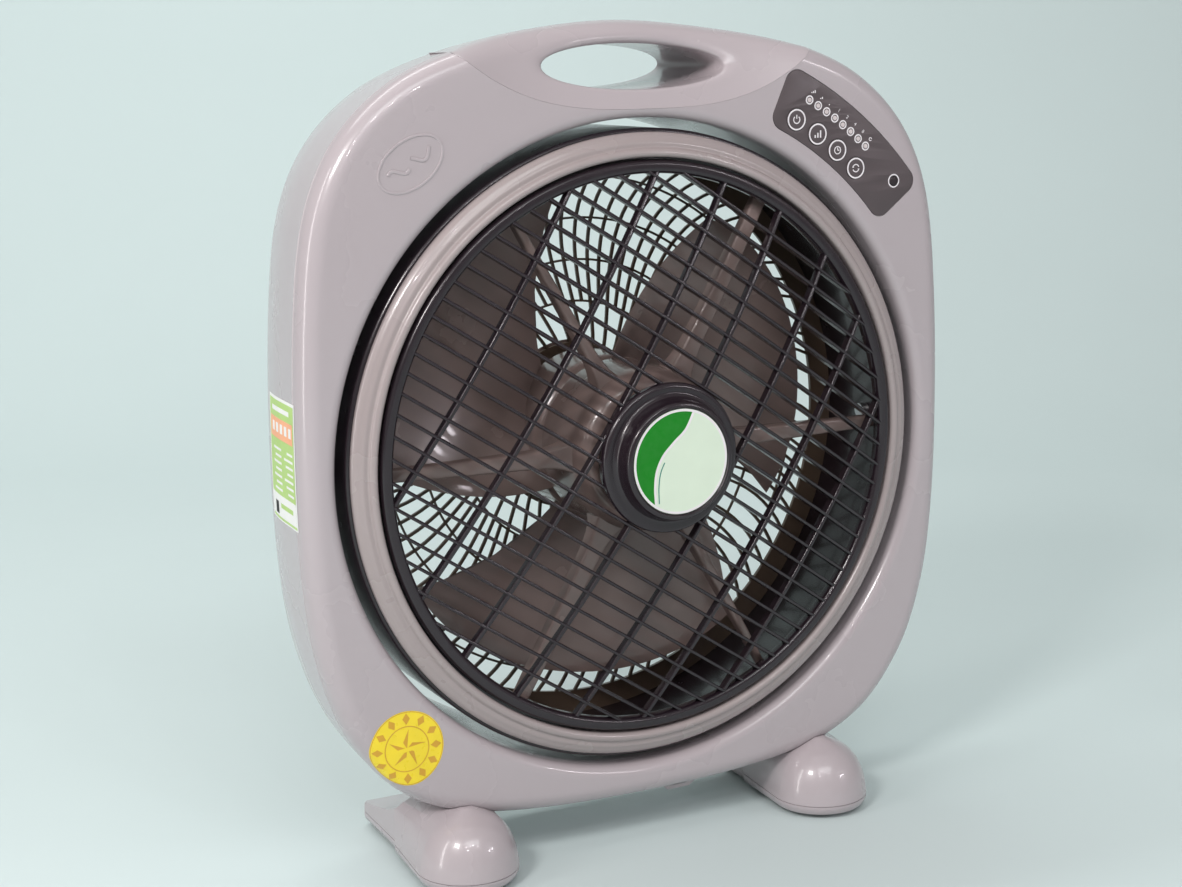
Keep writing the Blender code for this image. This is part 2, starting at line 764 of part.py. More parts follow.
def make_drum(parent):
    """Everything that tilts: barrel, grey ring, spider, guard, motor and the two pins."""
    barrel = [
        (FLANGE_RADIUS, BARREL_FRONT + 3 * MM),
        (FLANGE_RADIUS + 1.5 * MM, BARREL_FRONT),
        (BARREL_RADIUS - 1.5 * MM, BARREL_FRONT),
        (BARREL_RADIUS, BARREL_FRONT + 1.5 * MM),
        (BARREL_RADIUS, BARREL_BACK),
        (BARREL_RADIUS - WALL, BARREL_BACK),
        (BARREL_RADIUS - WALL, BARREL_FRONT + 8 * MM),
        (BARREL_RADIUS - 2 * WALL, BARREL_FRONT + 5 * MM),
        (FLANGE_RADIUS, BARREL_FRONT + 5 * MM),
    ]
    drum = turned("drum_barrel", barrel, BLACK, parent, steps=48)

    ring = [
        (RING_INNER, BARREL_FRONT - GAP),
        (RING_INNER, RING_FRONT + 2 * MM),
        (RING_INNER + 3 * MM, RING_FRONT),
        (RING_INNER + 7 * MM, RING_FRONT + 2.6 * MM),
        (RING_OUTER - 5 * MM, RING_FRONT + 3.4 * MM),
        (RING_OUTER - 1.5 * MM, RING_FRONT + 5.6 * MM),
        (RING_OUTER, BARREL_FRONT - 2.2 * MM),
        (RING_OUTER, BARREL_FRONT - GAP),
    ]
    turned("front_ring", ring, SHELL, parent, steps=48)

    make_spider(parent)
    make_guard(parent)
    make_motor(parent)
    for side, word in ((-1, "left"), (1, "right")):
        pin = cylinder(word + "_tilt_pin", PIN_RADIUS, 0, 15 * MM, STEEL, parent, sides=20)
        pin.rotation_euler.z = math.radians(90 if side < 0 else -90)
        pin.location = (side * (BARREL_RADIUS - 8 * MM), TILT_Y, 0)
        bore = cylinder(word + "_pin_bore", PIN_RADIUS + GAP, -2 * MM, 12 * MM, None, parent, sides=20)
        bore.rotation_euler.z = pin.rotation_euler.z
        bore.location = pin.location
        combine(drum, bore)


def make_spider(parent):
    """The six-armed carrier in front of the blades: a deep cup, which holds the louver's gear motor."""
    hub = [
        (SPIDER_BORE + GAP, SPIDER_FRONT),
        (SPIDER_HUB_RADIUS - 13 * MM, SPIDER_FRONT),
        (SPIDER_HUB_RADIUS - 6 * MM, SPIDER_FRONT + 2.5 * MM),
        (SPIDER_HUB_RADIUS - 1.5 * MM, SPIDER_FRONT + 8 * MM),
        (SPIDER_HUB_RADIUS, SPIDER_FRONT + 16 * MM),
        (SPIDER_HUB_RADIUS, SPIDER_BACK),
        (SPIDER_HUB_RADIUS - WALL, SPIDER_BACK),
        (SPIDER_HUB_RADIUS - WALL, SPIDER_FRONT + 16 * MM),
        (SPIDER_HUB_RADIUS - 4.5 * MM, SPIDER_FRONT + 10 * MM),
        (SPIDER_HUB_RADIUS - 13 * MM, SPIDER_FRONT + WALL),
        (SPIDER_BORE + GAP, SPIDER_FRONT + WALL),
    ]
    spider = turned("front_spider", hub, BROWN, parent, steps=30)
    for i in range(SPIDER_ARMS):
        at_hub, at_barrel = ARM_HALF_WIDTHS[i % len(ARM_HALF_WIDTHS)]
        bm = bmesh.new()
        bmesh.ops.create_cube(bm, size=1)
        for vert in bm.verts:
            outer = vert.co.x > 0
            reach = FLANGE_RADIUS + 4 * MM if outer else SPIDER_HUB_RADIUS - 1.5 * MM
            half = (at_barrel if outer else at_hub) * MM
            front = BARREL_FRONT + 5 * MM + GAP if outer else ARM_FRONT
            vert.co = (reach, front if vert.co.y < 0 else ARM_BACK, half if vert.co.z > 0 else -half)
        arm = finish(f"spider_arm_{i + 1}", bm, None, parent)
        arm.rotation_euler.y = -math.tau * i / SPIDER_ARMS
        combine(spider, arm, "UNION")
    back = SPIDER_FRONT + WALL + GAP
    gear = [
        (3.4 * MM, SPIDER_FRONT),
        (SPIDER_BORE, SPIDER_FRONT),
        (SPIDER_BORE, back),
        (25 * MM, back),
        (25 * MM, back + 18 * MM),
        (3.4 * MM, back + 18 * MM),
    ]
    turned("louver_gear_motor", gear, ZINC, parent, steps=20)


def guard_windows():
    """The gaps of the rear guard, between swept spokes that double outside the second ring."""
    loops = []
    for inner, outer, spokes in zip(GUARD_RINGS, GUARD_RINGS[1:], GUARD_SPOKES):
        step = math.tau / spokes
        low, high = inner + GUARD_BAR / 2, outer - GUARD_BAR / 2
        for i in range(spokes):
            turn = step * i
            corners = (
                (low, turn + GUARD_BAR / low),
                (high, turn + GUARD_BAR / high),
                (high, turn + step),
                (low, turn + step),
            )
            loop = []
            for radius, angle in corners:
                bent = angle + guard_bend(radius)
                loop.append((radius * math.cos(bent), radius * math.sin(bent)))
            loops.append(loop)
    return loops


def guard_bend(radius):
    """How far a spoke has turned at this radius: it curves one way and then back."""
    return -GUARD_BEND * ((radius - GUARD_BEND_RADIUS) / MM) ** 2


def guard_dome(radius):
    """How far the guard bulges to the back at this radius."""
    return GUARD_DOME * max(0.0, 1 - (radius / GUARD_RIM) ** 2)


def make_guard(parent):
    rim = round_loop(BARREL_RADIUS - 0.5 * MM, 56)
    motor_seat = round_loop(MOTOR_RADIUS + GAP, 40)
    holes = (motor_seat, *guard_windows())
    guard = flat("rear_guard", rim, holes, GUARD_Y, GUARD_Y + GUARD_THICK, BROWN, parent)
    for vert in guard.data.vertices:
        vert.co.y += guard_dome(math.hypot(vert.co.x, vert.co.z))


def make_motor(parent):
    case = [
        (0, MOTOR_BACK),
        (0, MOTOR_BACK - 2 * MM),
        (MOTOR_RADIUS - 4 * MM, MOTOR_BACK - 2 * MM),
        (MOTOR_RADIUS - 2 * MM, MOTOR_BACK - 5 * MM),
        (MOTOR_RADIUS - 2 * MM, MOTOR_FRONT + 2 * MM + GAP),
        (MOTOR_RADIUS, MOTOR_FRONT + 2 * MM + GAP),
        (MOTOR_RADIUS, MOTOR_BACK - 4 * MM),
        (MOTOR_RADIUS - 4 * MM, MOTOR_BACK),
    ]
    turned("motor_case", case, ZINC, parent, steps=26)
    plate = [
        (SHAFT_RADIUS + GAP, MOTOR_FRONT),
        (MOTOR_RADIUS, MOTOR_FRONT),
        (MOTOR_RADIUS, MOTOR_FRONT + 2 * MM),
        (SHAFT_RADIUS + GAP, MOTOR_FRONT + 2 * MM),
    ]
    turned("motor_end_plate", plate, ZINC, parent, steps=26)
    stator = [
        (ROTOR_RADIUS + MM, MOTOR_FRONT + 6 * MM),
        (MOTOR_RADIUS - 3 * MM, MOTOR_FRONT + 6 * MM),
        (MOTOR_RADIUS - 3 * MM, MOTOR_BACK - 9 * MM),
        (ROTOR_RADIUS + MM, MOTOR_BACK - 9 * MM),
    ]
    turned("motor_stator", stator, STEEL, parent, steps=24)
    cover = [
        (0, MOTOR_COVER_BACK),
        (0, MOTOR_COVER_BACK - WALL),
        (MOTOR_COVER_RADIUS - 8 * MM, MOTOR_COVER_BACK - WALL),
        (MOTOR_COVER_RADIUS - 3 * MM, MOTOR_COVER_FRONT + 3 * MM),
        (MOTOR_COVER_RADIUS - 3 * MM, MOTOR_COVER_FRONT),
        (MOTOR_COVER_RADIUS, MOTOR_COVER_FRONT),
        (MOTOR_COVER_RADIUS - 1 * MM, MOTOR_COVER_FRONT + 4 * MM),
        (MOTOR_COVER_RADIUS - 7 * MM, MOTOR_COVER_BACK),
    ]
    turned("motor_cover", cover, BROWN, parent, steps=28)


def make_impeller(parent):
    """Three wide blades on a hub, with the shaft, the rotor inside the motor and the nut in front."""
    boss_back = MOTOR_FRONT - 3 * MM
    hub = [
        (SHAFT_RADIUS + GAP, HUB_FRONT),
        (HUB_RADIUS - 5 * MM, HUB_FRONT),
        (HUB_RADIUS, HUB_FRONT + 5 * MM),
        (HUB_RADIUS, HUB_BACK),
        (HUB_RADIUS - WALL, HUB_BACK),
        (HUB_RADIUS - WALL, HUB_FRONT + 7 * MM),
        (HUB_RADIUS - 7 * MM, HUB_FRONT + WALL),
        (12 * MM, HUB_FRONT + WALL),
        (12 * MM, boss_back),
        (SHAFT_RADIUS + GAP, boss_back),
    ]
    impeller = turned("impeller", hub, BROWN, parent, steps=28)
    for number in range(BLADE_COUNT):
        bm = bmesh.new()
        bmesh.ops.create_grid(bm, x_segments=5, y_segments=5, size=1)
        for vert in bm.verts:
            vert.co = blade_point(0.5 + vert.co.x / 2, 0.5 + vert.co.y / 2)
        blade = finish(f"blade_{number + 1}", bm, None, parent)
        blade.rotation_euler.y = -math.tau * number / BLADE_COUNT
        skin = blade.modifiers.new("skin", "SOLIDIFY")
        skin.thickness = 2.2 * MM
        skin.offset = 0
        combine(impeller, blade, "UNION")
    nut_back = HUB_FRONT - GAP
    shaft_front = nut_back - 2 * MM
    cylinder("motor_shaft", SHAFT_RADIUS, shaft_front, MOTOR_BACK - 4 * MM, STEEL, parent, sides=16)
    rotor = [
        (SHAFT_RADIUS + GAP, MOTOR_FRONT + 5 * MM),
        (ROTOR_RADIUS, MOTOR_FRONT + 5 * MM),
        (ROTOR_RADIUS, MOTOR_BACK - 8 * MM),
        (SHAFT_RADIUS + GAP, MOTOR_BACK - 8 * MM),
    ]
    turned("motor_rotor", rotor, STEEL, parent, steps=20)
    nut = [
        (0, nut_back - 5.5 * MM),
        (10 * MM, nut_back - 5.5 * MM),
        (14 * MM, nut_back),
        (SHAFT_RADIUS + GAP, nut_back),
        (SHAFT_RADIUS + GAP, shaft_front - GAP),
        (0, shaft_front - GAP),
    ]
    turned("impeller_nut", nut, BLACK, parent, steps=20)


def blade_point(across, out):
    """A point of one blade: across runs from the front edge to the back edge, out from root to tip."""
    spread = 2 * across - 1
    radius = (BLADE_ROOT + (BLADE_TIP - BLADE_ROOT) * out) * (1 - 0.04 * out * spread**4)
    turn = BLADE_ROOT_TURN + BLADE_SWEEP * out**0.7 - BLADE_HALF_ANGLE * spread
    camber = 3 * MM * math.sin(math.pi * across)
    y = BLADE_FRONT + (BLADE_BACK - BLADE_FRONT) * across + camber
    return (radius * math.cos(turn), y, radius * math.sin(turn))


# ---------------------------------------------------------------- louver


def dome(radius):
    """How far the louver bulges forward at this radius."""
    return LOUVER_DOME * max(0.0, 1 - (radius / LOUVER_RIM) ** 2)


def make_louver(parent):
    plate = cylinder("louver_plate", LOUVER_RADIUS, 0, LOUVER_DEPTH, None, parent, sides=56)
    gap = (BAR_PITCH - BAR_THICK, 3 * LOUVER_DEPTH, SLAT_PITCH - SLAT_THICK)
    windows = box("louver_windows", gap, None, parent)
    windows.location = (-BAR_PITCH * (BAR_COUNT / 2), 0, -SLAT_PITCH * (SLAT_COUNT / 2))
    across = windows.modifiers.new("across", "ARRAY")
    across.count = BAR_COUNT + 1
    across.use_relative_offset = False
    across.use_constant_offset = True
    across.constant_offset_displace = (BAR_PITCH, 0, 0)
    up = windows.modifiers.new("up", "ARRAY")
    up.count = SLAT_COUNT + 1
    up.use_relative_offset = False
    up.use_constant_offset = True
    up.constant_offset_displace = (0, 0, SLAT_PITCH)
    band = flat(
        "louver_band",
        round_loop(LOUVER_RIM, 56),
        (round_loop(CAP_RADIUS - 3 * MM, 28),),
        -2 * LOUVER_DEPTH,
        2 * LOUVER_DEPTH,
        None,
        parent,
    )
    combine(windows, band, "INTERSECT")
    combine(plate, windows)
    bm = baked(plate)
    bmesh.ops.dissolve_limit(bm, angle_limit=0.001, verts=bm.verts[:], edges=bm.edges[:])
    bmesh.ops.triangulate(bm, faces=bm.faces[:])
    for vert in bm.verts:
        lean = -dome(math.hypot(vert.co.x, vert.co.z))
        vert.co.y += lean + LOUVER_BACK - LOUVER_DEPTH
    grille = finish("louver_grille", bm, BLACK, parent)
    grille.rotation_euler.y = -LOUVER_TURN
    centre = cylinder("louver_hole", 4 * MM, -60 * MM, 40 * MM, None, parent, sides=16)
    combine(grille, centre)
    for helper in (plate, windows, band):
        bpy.data.objects.remove(helper, do_unlink=True)

    cap = [
        (4 * MM, CAP_FRONT + 0.6 * MM),
        (CAP_CUP_RADIUS - 3 * MM, CAP_FRONT + 0.6 * MM),
        (CAP_CUP_RADIUS - 2.6 * MM, CAP_FRONT - 0.4 * MM),
        (CAP_CUP_RADIUS - 1 * MM, CAP_FRONT),
        (CAP_CUP_RADIUS, CAP_FRONT + 2 * MM),
        (CAP_CUP_RADIUS + 2 * MM, CAP_FLANGE_FRONT),
        (CAP_RADIUS - 1.5 * MM, CAP_FLANGE_FRONT - 0.6 * MM),
        (CAP_RADIUS, CAP_FLANGE_FRONT + 1 * MM),
        (CAP_RADIUS, CAP_BACK - 6.6 * MM),
        (CAP_CUP_RADIUS, CAP_BACK - 6.6 * MM),
        (CAP_CUP_RADIUS - 3 * MM, CAP_FRONT + 4 * MM),
        (4 * MM, CAP_FRONT + 4 * MM),
    ]
    turned("louver_cap", cap, BLACK, parent, steps=30)
    label_back = CAP_FRONT + 0.6 * MM - GAP / 2
    cylinder("cap_label", LABEL_RADIUS, CAP_FRONT - 0.1 * MM, label_back, LABEL, parent, sides=30)
    axle = [
        (0, CAP_FRONT + 4.5 * MM),
        (3.6 * MM, CAP_FRONT + 4.5 * MM),
        (3.6 * MM, -33 * MM),
        (3.6 * MM, -13 * MM),
        (3 * MM, -12 * MM),
        (3 * MM, 8 * MM),
        (0, 8 * MM),
    ]
    turned("louver_axle", axle, STEEL, parent, steps=16)


# ---------------------------------------------------------------- build

clear_scene()
PARTS = collection("box_fan")
CUTTERS = collection("cutters")
CUTTERS.hide_render = True
SHELL = material("grey_plastic", (0.52, 0.46, 0.48), 0.28)
PANEL = material("panel_brown", (0.09, 0.07, 0.075), 0.35)
BROWN = material("brown_plastic", (0.16, 0.12, 0.115), 0.3)
BLACK = material("black_plastic", (0.015, 0.014, 0.017), 0.3)
RUBBER = material("black_rubber", (0.02, 0.02, 0.02), 0.8)
STEEL = material("steel", (0.55, 0.55, 0.56), 0.35, 1.0)
ZINC = material("zinc_sheet", (0.42, 0.42, 0.44), 0.45, 0.9)
BOARD = material("board_green", (0.03, 0.16, 0.06), 0.5)
CLEAR = material("clear_plastic", (0.7, 0.7, 0.68), 0.2)
SMOKE = material("smoked_plastic", (0.03, 0.015, 0.02), 0.15)
LABEL = material("label_pale_green", (0.62, 0.78, 0.6), 0.4)

CENTRE = empty("opening_centre", (0, FACE_Y, CENTRE_HEIGHT))
TILT = empty("tilt_axis", (0, TILT_Y, 0), CENTRE)
DRUM = empty("drum_frame", (0, -TILT_Y, 0), TILT)
SPIN = empty("impeller_axis", (0, 0, 0), DRUM)
TURN = empty("louver_axis", (0, 0, 0), DRUM)

front_shell, rear_shell = make_shells(CENTRE)
make_controls(front_shell, CENTRE)
make_feet(rear_shell, CENTRE)
make_frame_details(rear_shell, CENTRE)
make_clip(CENTRE)
make_drum(DRUM)
make_impeller(SPIN)
make_louver(TURN)
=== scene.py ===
"""The looks of the box fan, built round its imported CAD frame.

Shapes are worked out in the fan's own frame: millimetres from the centre of the round opening, x to the
right, y back from the front face, z up. placed() turns them into the row's metres.
"""

from math import atan2, cos, hypot, pi, radians, sin, sqrt, tanh, tau

import bmesh
import bpy
import numpy as np
from mathutils import Matrix, Vector
from mathutils.geometry import interpolate_bezier


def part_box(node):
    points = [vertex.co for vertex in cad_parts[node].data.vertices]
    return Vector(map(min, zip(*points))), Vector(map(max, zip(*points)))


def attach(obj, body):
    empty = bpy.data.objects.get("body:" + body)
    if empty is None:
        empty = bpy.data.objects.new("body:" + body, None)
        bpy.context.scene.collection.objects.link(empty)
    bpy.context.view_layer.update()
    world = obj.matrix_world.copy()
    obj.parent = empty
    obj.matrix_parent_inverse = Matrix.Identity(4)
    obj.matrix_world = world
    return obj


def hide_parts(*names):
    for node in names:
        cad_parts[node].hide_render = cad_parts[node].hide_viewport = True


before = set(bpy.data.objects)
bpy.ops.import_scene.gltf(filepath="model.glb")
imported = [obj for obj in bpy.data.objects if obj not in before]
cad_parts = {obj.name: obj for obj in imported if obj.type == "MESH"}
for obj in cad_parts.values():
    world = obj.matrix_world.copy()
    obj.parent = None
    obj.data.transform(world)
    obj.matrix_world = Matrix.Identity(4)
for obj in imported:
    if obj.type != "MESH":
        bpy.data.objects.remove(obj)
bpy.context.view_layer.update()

MM = 0.001
RING_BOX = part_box("front_ring")
FACE_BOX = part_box("front_shell")
RING_MIDDLE = (RING_BOX[0] + RING_BOX[1]) / 2
ORIGIN = np.array((RING_MIDDLE.x, FACE_BOX[0].y, RING_MIDDLE.z))

# The housing, as in the CAD: the right half of its outline as (x, z), from the top to the bottom
HALF_OUTLINE = (
    (0, 276.5), (69, 270.5), (120, 260), (167, 240.5), (203.5, 207.5), (224.5, 164), (233.8, 100),
    (237, 0), (234, -75), (225.5, -125), (207.5, -170), (172, -210), (118, -231), (0, -238.5),
)
PARTING_Y = 15.0
OPENING_RADIUS = 215.0
LIP = 7.0
EDGE_INSET = 13.0
SEAM_GAP = 0.3
# The back's rounding: how far in from the outline, and how far back
BACK_CURVE = ((0, 15.3), (3.5, 65), (8.5, 87), (17, 99), (34, 106), (60, 106))
# Spots on the back, as (radius, degrees) about the opening's centre
SHELL_SCREWS = ((247, 45), (247, 135), (239, -37), (239, -143))
SHELL_SCREW_POCKET = 4.6
BUSHING_SPOT = (236, -128)
BUSHING_HOLE = 6.3
PANEL_INNER = 228.0
PANEL_OUTER = 269.0
PANEL_FROM = radians(38)
PANEL_TO = radians(66)
PANEL_CORNER = 9.0

# The handle cover and its finger slot
HANDLE_HALF = 128.0
HANDLE_LOW = 220.5
HANDLE_END = 256.8
HANDLE_LEAN = 0.5
HANDLE_BACK = 46.0
HANDLE_SEAM = 0.12
HANDLE_EDGE_DEPTH = 13.0
SLOT_HALF = 66.0
SLOT_HIGH = 14.5
SLOT_Z = 247.0


# ---- shapes


def unit(vectors):
    """Vectors scaled to length one."""
    return vectors / np.linalg.norm(vectors, axis=-1, keepdims=True)


def left_of(path):
    """At each (x, z) point of a path, the unit vector to its left."""
    along = unit(np.gradient(path, axis=0))
    return np.stack([-along[:, 1], along[:, 0]], 1)


def placed(points):
    """Points of the fan's own frame in the row's metres."""
    return ORIGIN + np.asarray(points, float).reshape(-1, 3) * MM


def grid(points, close_u=False, close_v=False):
    """(points, faces) of a grid of points [u, v, 3]."""
    points = np.asarray(points, float)
    rows, columns = points.shape[:2]
    ids = np.arange(rows * columns).reshape(rows, columns)
    if close_u:
        ids = np.vstack([ids, ids[:1]])
    if close_v:
        ids = np.hstack([ids, ids[:, :1]])
    quads = np.stack([ids[:-1, :-1], ids[1:, :-1], ids[1:, 1:], ids[:-1, 1:]], -1)
    return points.reshape(-1, 3), quads.reshape(-1, 4).tolist()


def capped(points):
    """A closed tube of points [u, v, 3], round in v, with a face on each end."""
    verts, faces = grid(points, close_v=True)
    count = len(points[0])
    first = list(range(count))
    last = [len(verts) - count + i for i in range(count)]
    return verts, faces + [first[::-1], last]


def joined(shapes):
    """Several (points, faces) as one."""
    verts, faces, start = [], [], 0
    for points, polygons in shapes:
        verts.append(points)
        faces += [[i + start for i in polygon] for polygon in polygons]
        start += len(points)
    return np.vstack(verts), faces


def linked(name, data):
    """A new object of this data, in the scene."""
    obj = bpy.data.objects.new(name, data)
    bpy.context.scene.collection.objects.link(obj)
    return obj


def mesh_of(name, shape, material, weld=0.002, sharp=35.0):
    """An object of a (points, faces) shape in the fan's frame, shaded smooth except at sharp edges."""
    points, faces = shape
    mesh = bpy.data.meshes.new(name)
    mesh.from_pydata(placed(points).tolist(), [], faces)
    bm = bmesh.new()
    bm.from_mesh(mesh)
    bmesh.ops.remove_doubles(bm, verts=bm.verts[:], dist=weld * MM)
    bmesh.ops.recalc_face_normals(bm, faces=bm.faces[:])
    bm.to_mesh(mesh)
    bm.free()
    obj = linked(name, mesh)
    mesh.materials.append(material)
    shade(obj, sharp)
    return obj


def shade(obj, sharp):
    """Smooth shading, except at edges sharper than this many degrees."""
    obj.data.shade_smooth()
    obj.data.set_sharp_from_angle(angle=radians(sharp))


def piece(obj, body, slot, *nodes):
    """obj rides on a body and stands for the CAD nodes named. The slot is not used."""
    if nodes:
        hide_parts(*nodes)
    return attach(obj, body)


def cut(obj, cutters, sharp=35.0):
    """Takes the cutters out of obj, for good, and removes them."""
    for cutter in cutters:
        modifier = obj.modifiers.new("cut", "BOOLEAN")
        modifier.operation = "DIFFERENCE"
        modifier.solver = "EXACT"
        modifier.object = cutter
    bpy.context.view_layer.update()
    graph = bpy.context.evaluated_depsgraph_get()
    made = bpy.data.meshes.new_from_object(obj.evaluated_get(graph))
    obj.modifiers.clear()
    obj.data = made
    for cutter in cutters:
        bpy.data.objects.remove(cutter, do_unlink=True)
    shade(obj, sharp)
    return obj


def filleted(profile, pieces):
    """A closed 2D path through (x, y, how far the corner is rounded) points."""
    corners = [np.array(point[:2], float) for point in profile]
    path = []
    for i, (corner, (_, _, radius)) in enumerate(zip(corners, profile)):
        if radius == 0:
            path.append(corner)
            continue
        sides = (corners[i - 1] - corner, corners[(i + 1) % len(corners)] - corner)
        start, end = (corner + unit(side) * min(radius, np.linalg.norm(side) / 2) for side in sides)
        for k in range(pieces + 1):
            t = k / pieces
            path.append((1 - t) ** 2 * start + 2 * t * (1 - t) * corner + t * t * end)
    return path


def lathe(profile, steps, at=(0, 0)):
    """A profile of (radius, y) turned about the Y axis that stands at (x, z)."""
    rings = []
    for i in range(steps):
        turn = tau * i / steps
        rings.append([(at[0] + r * cos(turn), y, at[1] + r * sin(turn)) for r, y in profile])
    return grid(rings, close_u=True, close_v=True)


def spun(profile, pieces, steps, at=(0, 0)):
    """A turned part. Its profile is (radius, y, how far that corner is rounded) points."""
    return lathe(filleted(profile, pieces), steps, at)


def tilted(x, z, tilt, at=(0, 0)):
    """(x, z) turned about the origin and then moved to at."""
    return (at[0] + x * cos(tilt) - z * sin(tilt), at[1] + x * sin(tilt) + z * cos(tilt))


def turned(shape, angle):
    """A shape turned about the Y axis, anticlockwise as seen from the front."""
    points = np.array(shape[0])
    points[:, 0], points[:, 2] = tilted(points[:, 0].copy(), points[:, 2].copy(), angle)
    return points, shape[1]


def polar(radius, angle):
    """The point (x, z) at this radius and angle about the opening's centre."""
    return (radius * cos(angle), radius * sin(angle))


def bulge(radius, rim, rise):
    """The height at this radius of a dome that rises this much inside its rim."""
    return rise * np.maximum(0.0, 1 - (radius / rim) ** 2)


def loop_of(radius, count=48, at=(0, 0), squash=1.0, tilt=0.0):
    """A circle or an ellipse of (x, z) points."""
    loop = []
    for i in range(count):
        x, z = polar(radius, tau * i / count)
        loop.append(tilted(x, z * squash, tilt, at))
    return loop


def slab(x0, x1, z0, z1):
    """A rectangle of (x, z) points."""
    return [(x0, z0), (x1, z0), (x1, z1), (x0, z1)]


def solid_of(name, curve):
    """The mesh that Blender makes of a curve or a text."""
    drawn = linked(name, curve)
    bpy.context.view_layer.update()
    graph = bpy.context.evaluated_depsgraph_get()
    mesh = bpy.data.meshes.new_from_object(drawn.evaluated_get(graph))
    bpy.data.objects.remove(drawn, do_unlink=True)
    return mesh


def flat(name, loops, y0, y1, material, bevel=0.0):
    """An outline of (x, z) points with holes, as a thin solid from y0 to y1."""
    curve = bpy.data.curves.new(name, "CURVE")
    curve.dimensions = "2D"
    curve.fill_mode = "BOTH"
    curve.extrude = max(0.0, (y1 - y0) / 2 - bevel)
    curve.bevel_depth = bevel
    curve.bevel_resolution = 2
    curve.offset = -bevel
    for loop in loops:
        spline = curve.splines.new("POLY")
        spline.points.add(len(loop) - 1)
        for point, (x, z) in zip(spline.points, loop):
            point.co = (x, z, 0, 1)
        spline.use_cyclic_u = True
    mesh = solid_of(name, curve)
    points = [(v.co.x, (y0 + y1) / 2 - v.co.z, v.co.y) for v in mesh.vertices]
    faces = [list(polygon.vertices) for polygon in mesh.polygons]
    return mesh_of(name, (points, faces), material, weld=0.001)


def prism(name, loop, y0, y1):
    """A prism along Y to cut with."""
    return mesh_of(name, capped([[(x, y, z) for x, z in loop] for y in (y0, y1)]), None)


# ---- materials


def look(name, colour, roughness, spread=0.04, cloud=60, metallic=0.0, grain=0.0, grain_scale=900, coat=0.0):
    """A plastic, rubber, metal or print whose colour and gloss drift a little, with a fine grain if asked.

    spread is how far the colour drifts, and cloud how many drifting patches there are to a metre.
    """
    made = bpy.data.materials.new(name)
    made.use_nodes = True
    nodes, links = made.node_tree.nodes, made.node_tree.links
    shader = nodes["Principled BSDF"]
    shader.inputs["Metallic"].default_value = metallic
    shader.inputs["Coat Weight"].default_value = coat
    shader.inputs["Coat Roughness"].default_value = 0.06
    where = nodes.new("ShaderNodeTexCoord")

    def node(kind, values):
        new = nodes.new("ShaderNode" + kind)
        for key, value in values.items():
            new.inputs[key].default_value = value
        return new

    def noise(scale, detail):
        new = node("TexNoise", {"Scale": scale, "Detail": detail})
        links.new(where.outputs["Object"], new.inputs["Vector"])
        return new.outputs["Fac"]

    def span(source, low, high):
        new = node("MapRange", {"From Min": 0.3, "From Max": 0.7, "To Min": low, "To Max": high})
        links.new(source, new.inputs["Value"])
        return new.outputs["Result"]

    mix = nodes.new("ShaderNodeMix")
    mix.data_type = "RGBA"
    mix.inputs["A"].default_value = (*[c * (1 - spread) for c in colour], 1)
    mix.inputs["B"].default_value = (*[min(1, c * (1 + spread)) for c in colour], 1)
    links.new(span(noise(cloud, 3), 0, 1), mix.inputs["Factor"])
    links.new(mix.outputs["Result"], shader.inputs["Base Color"])
    gloss = span(noise(cloud * 4, 4), roughness * 0.85, roughness * 1.15)
    links.new(gloss, shader.inputs["Roughness"])
    if grain:
        bump = node("Bump", {"Strength": grain, "Distance": 0.0002})
        links.new(noise(grain_scale, 2), bump.inputs["Height"])
        links.new(bump.outputs["Normal"], shader.inputs["Normal"])
    return made


GREY = look("grey_plastic", (0.425, 0.376, 0.392), 0.27, spread=0.012, cloud=3, coat=0.45)
RING_GREY = look("ring_grey_plastic", (0.335, 0.285, 0.282), 0.28, spread=0.02, cloud=4, coat=0.3)
DARK = look("panel_brown", (0.080, 0.062, 0.066), 0.38, spread=0.06, cloud=30, grain=0.1, grain_scale=1500)
BROWN = look("brown_plastic", (0.225, 0.165, 0.150), 0.24, spread=0.05, cloud=6, coat=0.35)
GUARD = look("guard_plastic", (0.105, 0.072, 0.050), 0.36, spread=0.08, cloud=20)
BLACK = look("black_plastic", (0.015, 0.009, 0.013), 0.24, spread=0.10, cloud=15, coat=0.2)
RUBBER = look("black_rubber", (0.018, 0.018, 0.019), 0.75, spread=0.15, grain=0.5)
STEEL = look("steel", (0.58, 0.58, 0.60), 0.32, spread=0.05, cloud=80, metallic=1.0, grain=0.2)
ZINC = look("zinc_sheet", (0.45, 0.45, 0.47), 0.42, spread=0.12, metallic=0.9, grain=0.3)
BOARD = look("board_green", (0.03, 0.16, 0.06), 0.45, spread=0.1, cloud=90, grain=0.2)
CLEAR = look("clear_plastic", (0.62, 0.55, 0.55), 0.2, spread=0.03, cloud=90)
SMOKE = look("smoked_plastic", (0.02, 0.012, 0.015), 0.35, spread=0.1, cloud=90)
WHITE = look("white_print", (0.78, 0.74, 0.76), 0.55, spread=0.03, cloud=120)

# The looks of the CAD nodes that stay in sight, by a word in their names
NODE_LOOKS = (
    (STEEL, ("screw", "tilt_pin", "motor_rotor", "motor_shaft", "motor_stator", "louver_axle")),
    (BLACK, ("_bush", "_switch", "impeller_nut")),
    (RUBBER, ("_pad",)),
    (ZINC, ("motor_end_plate", "louver_gear_motor")),
    (DARK, ("control_panel",)),
    (WHITE, ("cap_label",)),
    (BOARD, ("circuit_board",)),
    (CLEAR, ("light_guide",)),
)


def look_of_node(name):
    """The look of a CAD node: the housing's grey, unless its name says otherwise."""
    for material, words in NODE_LOOKS:
        if any(word in name for word in words):
            return material
    return GREY


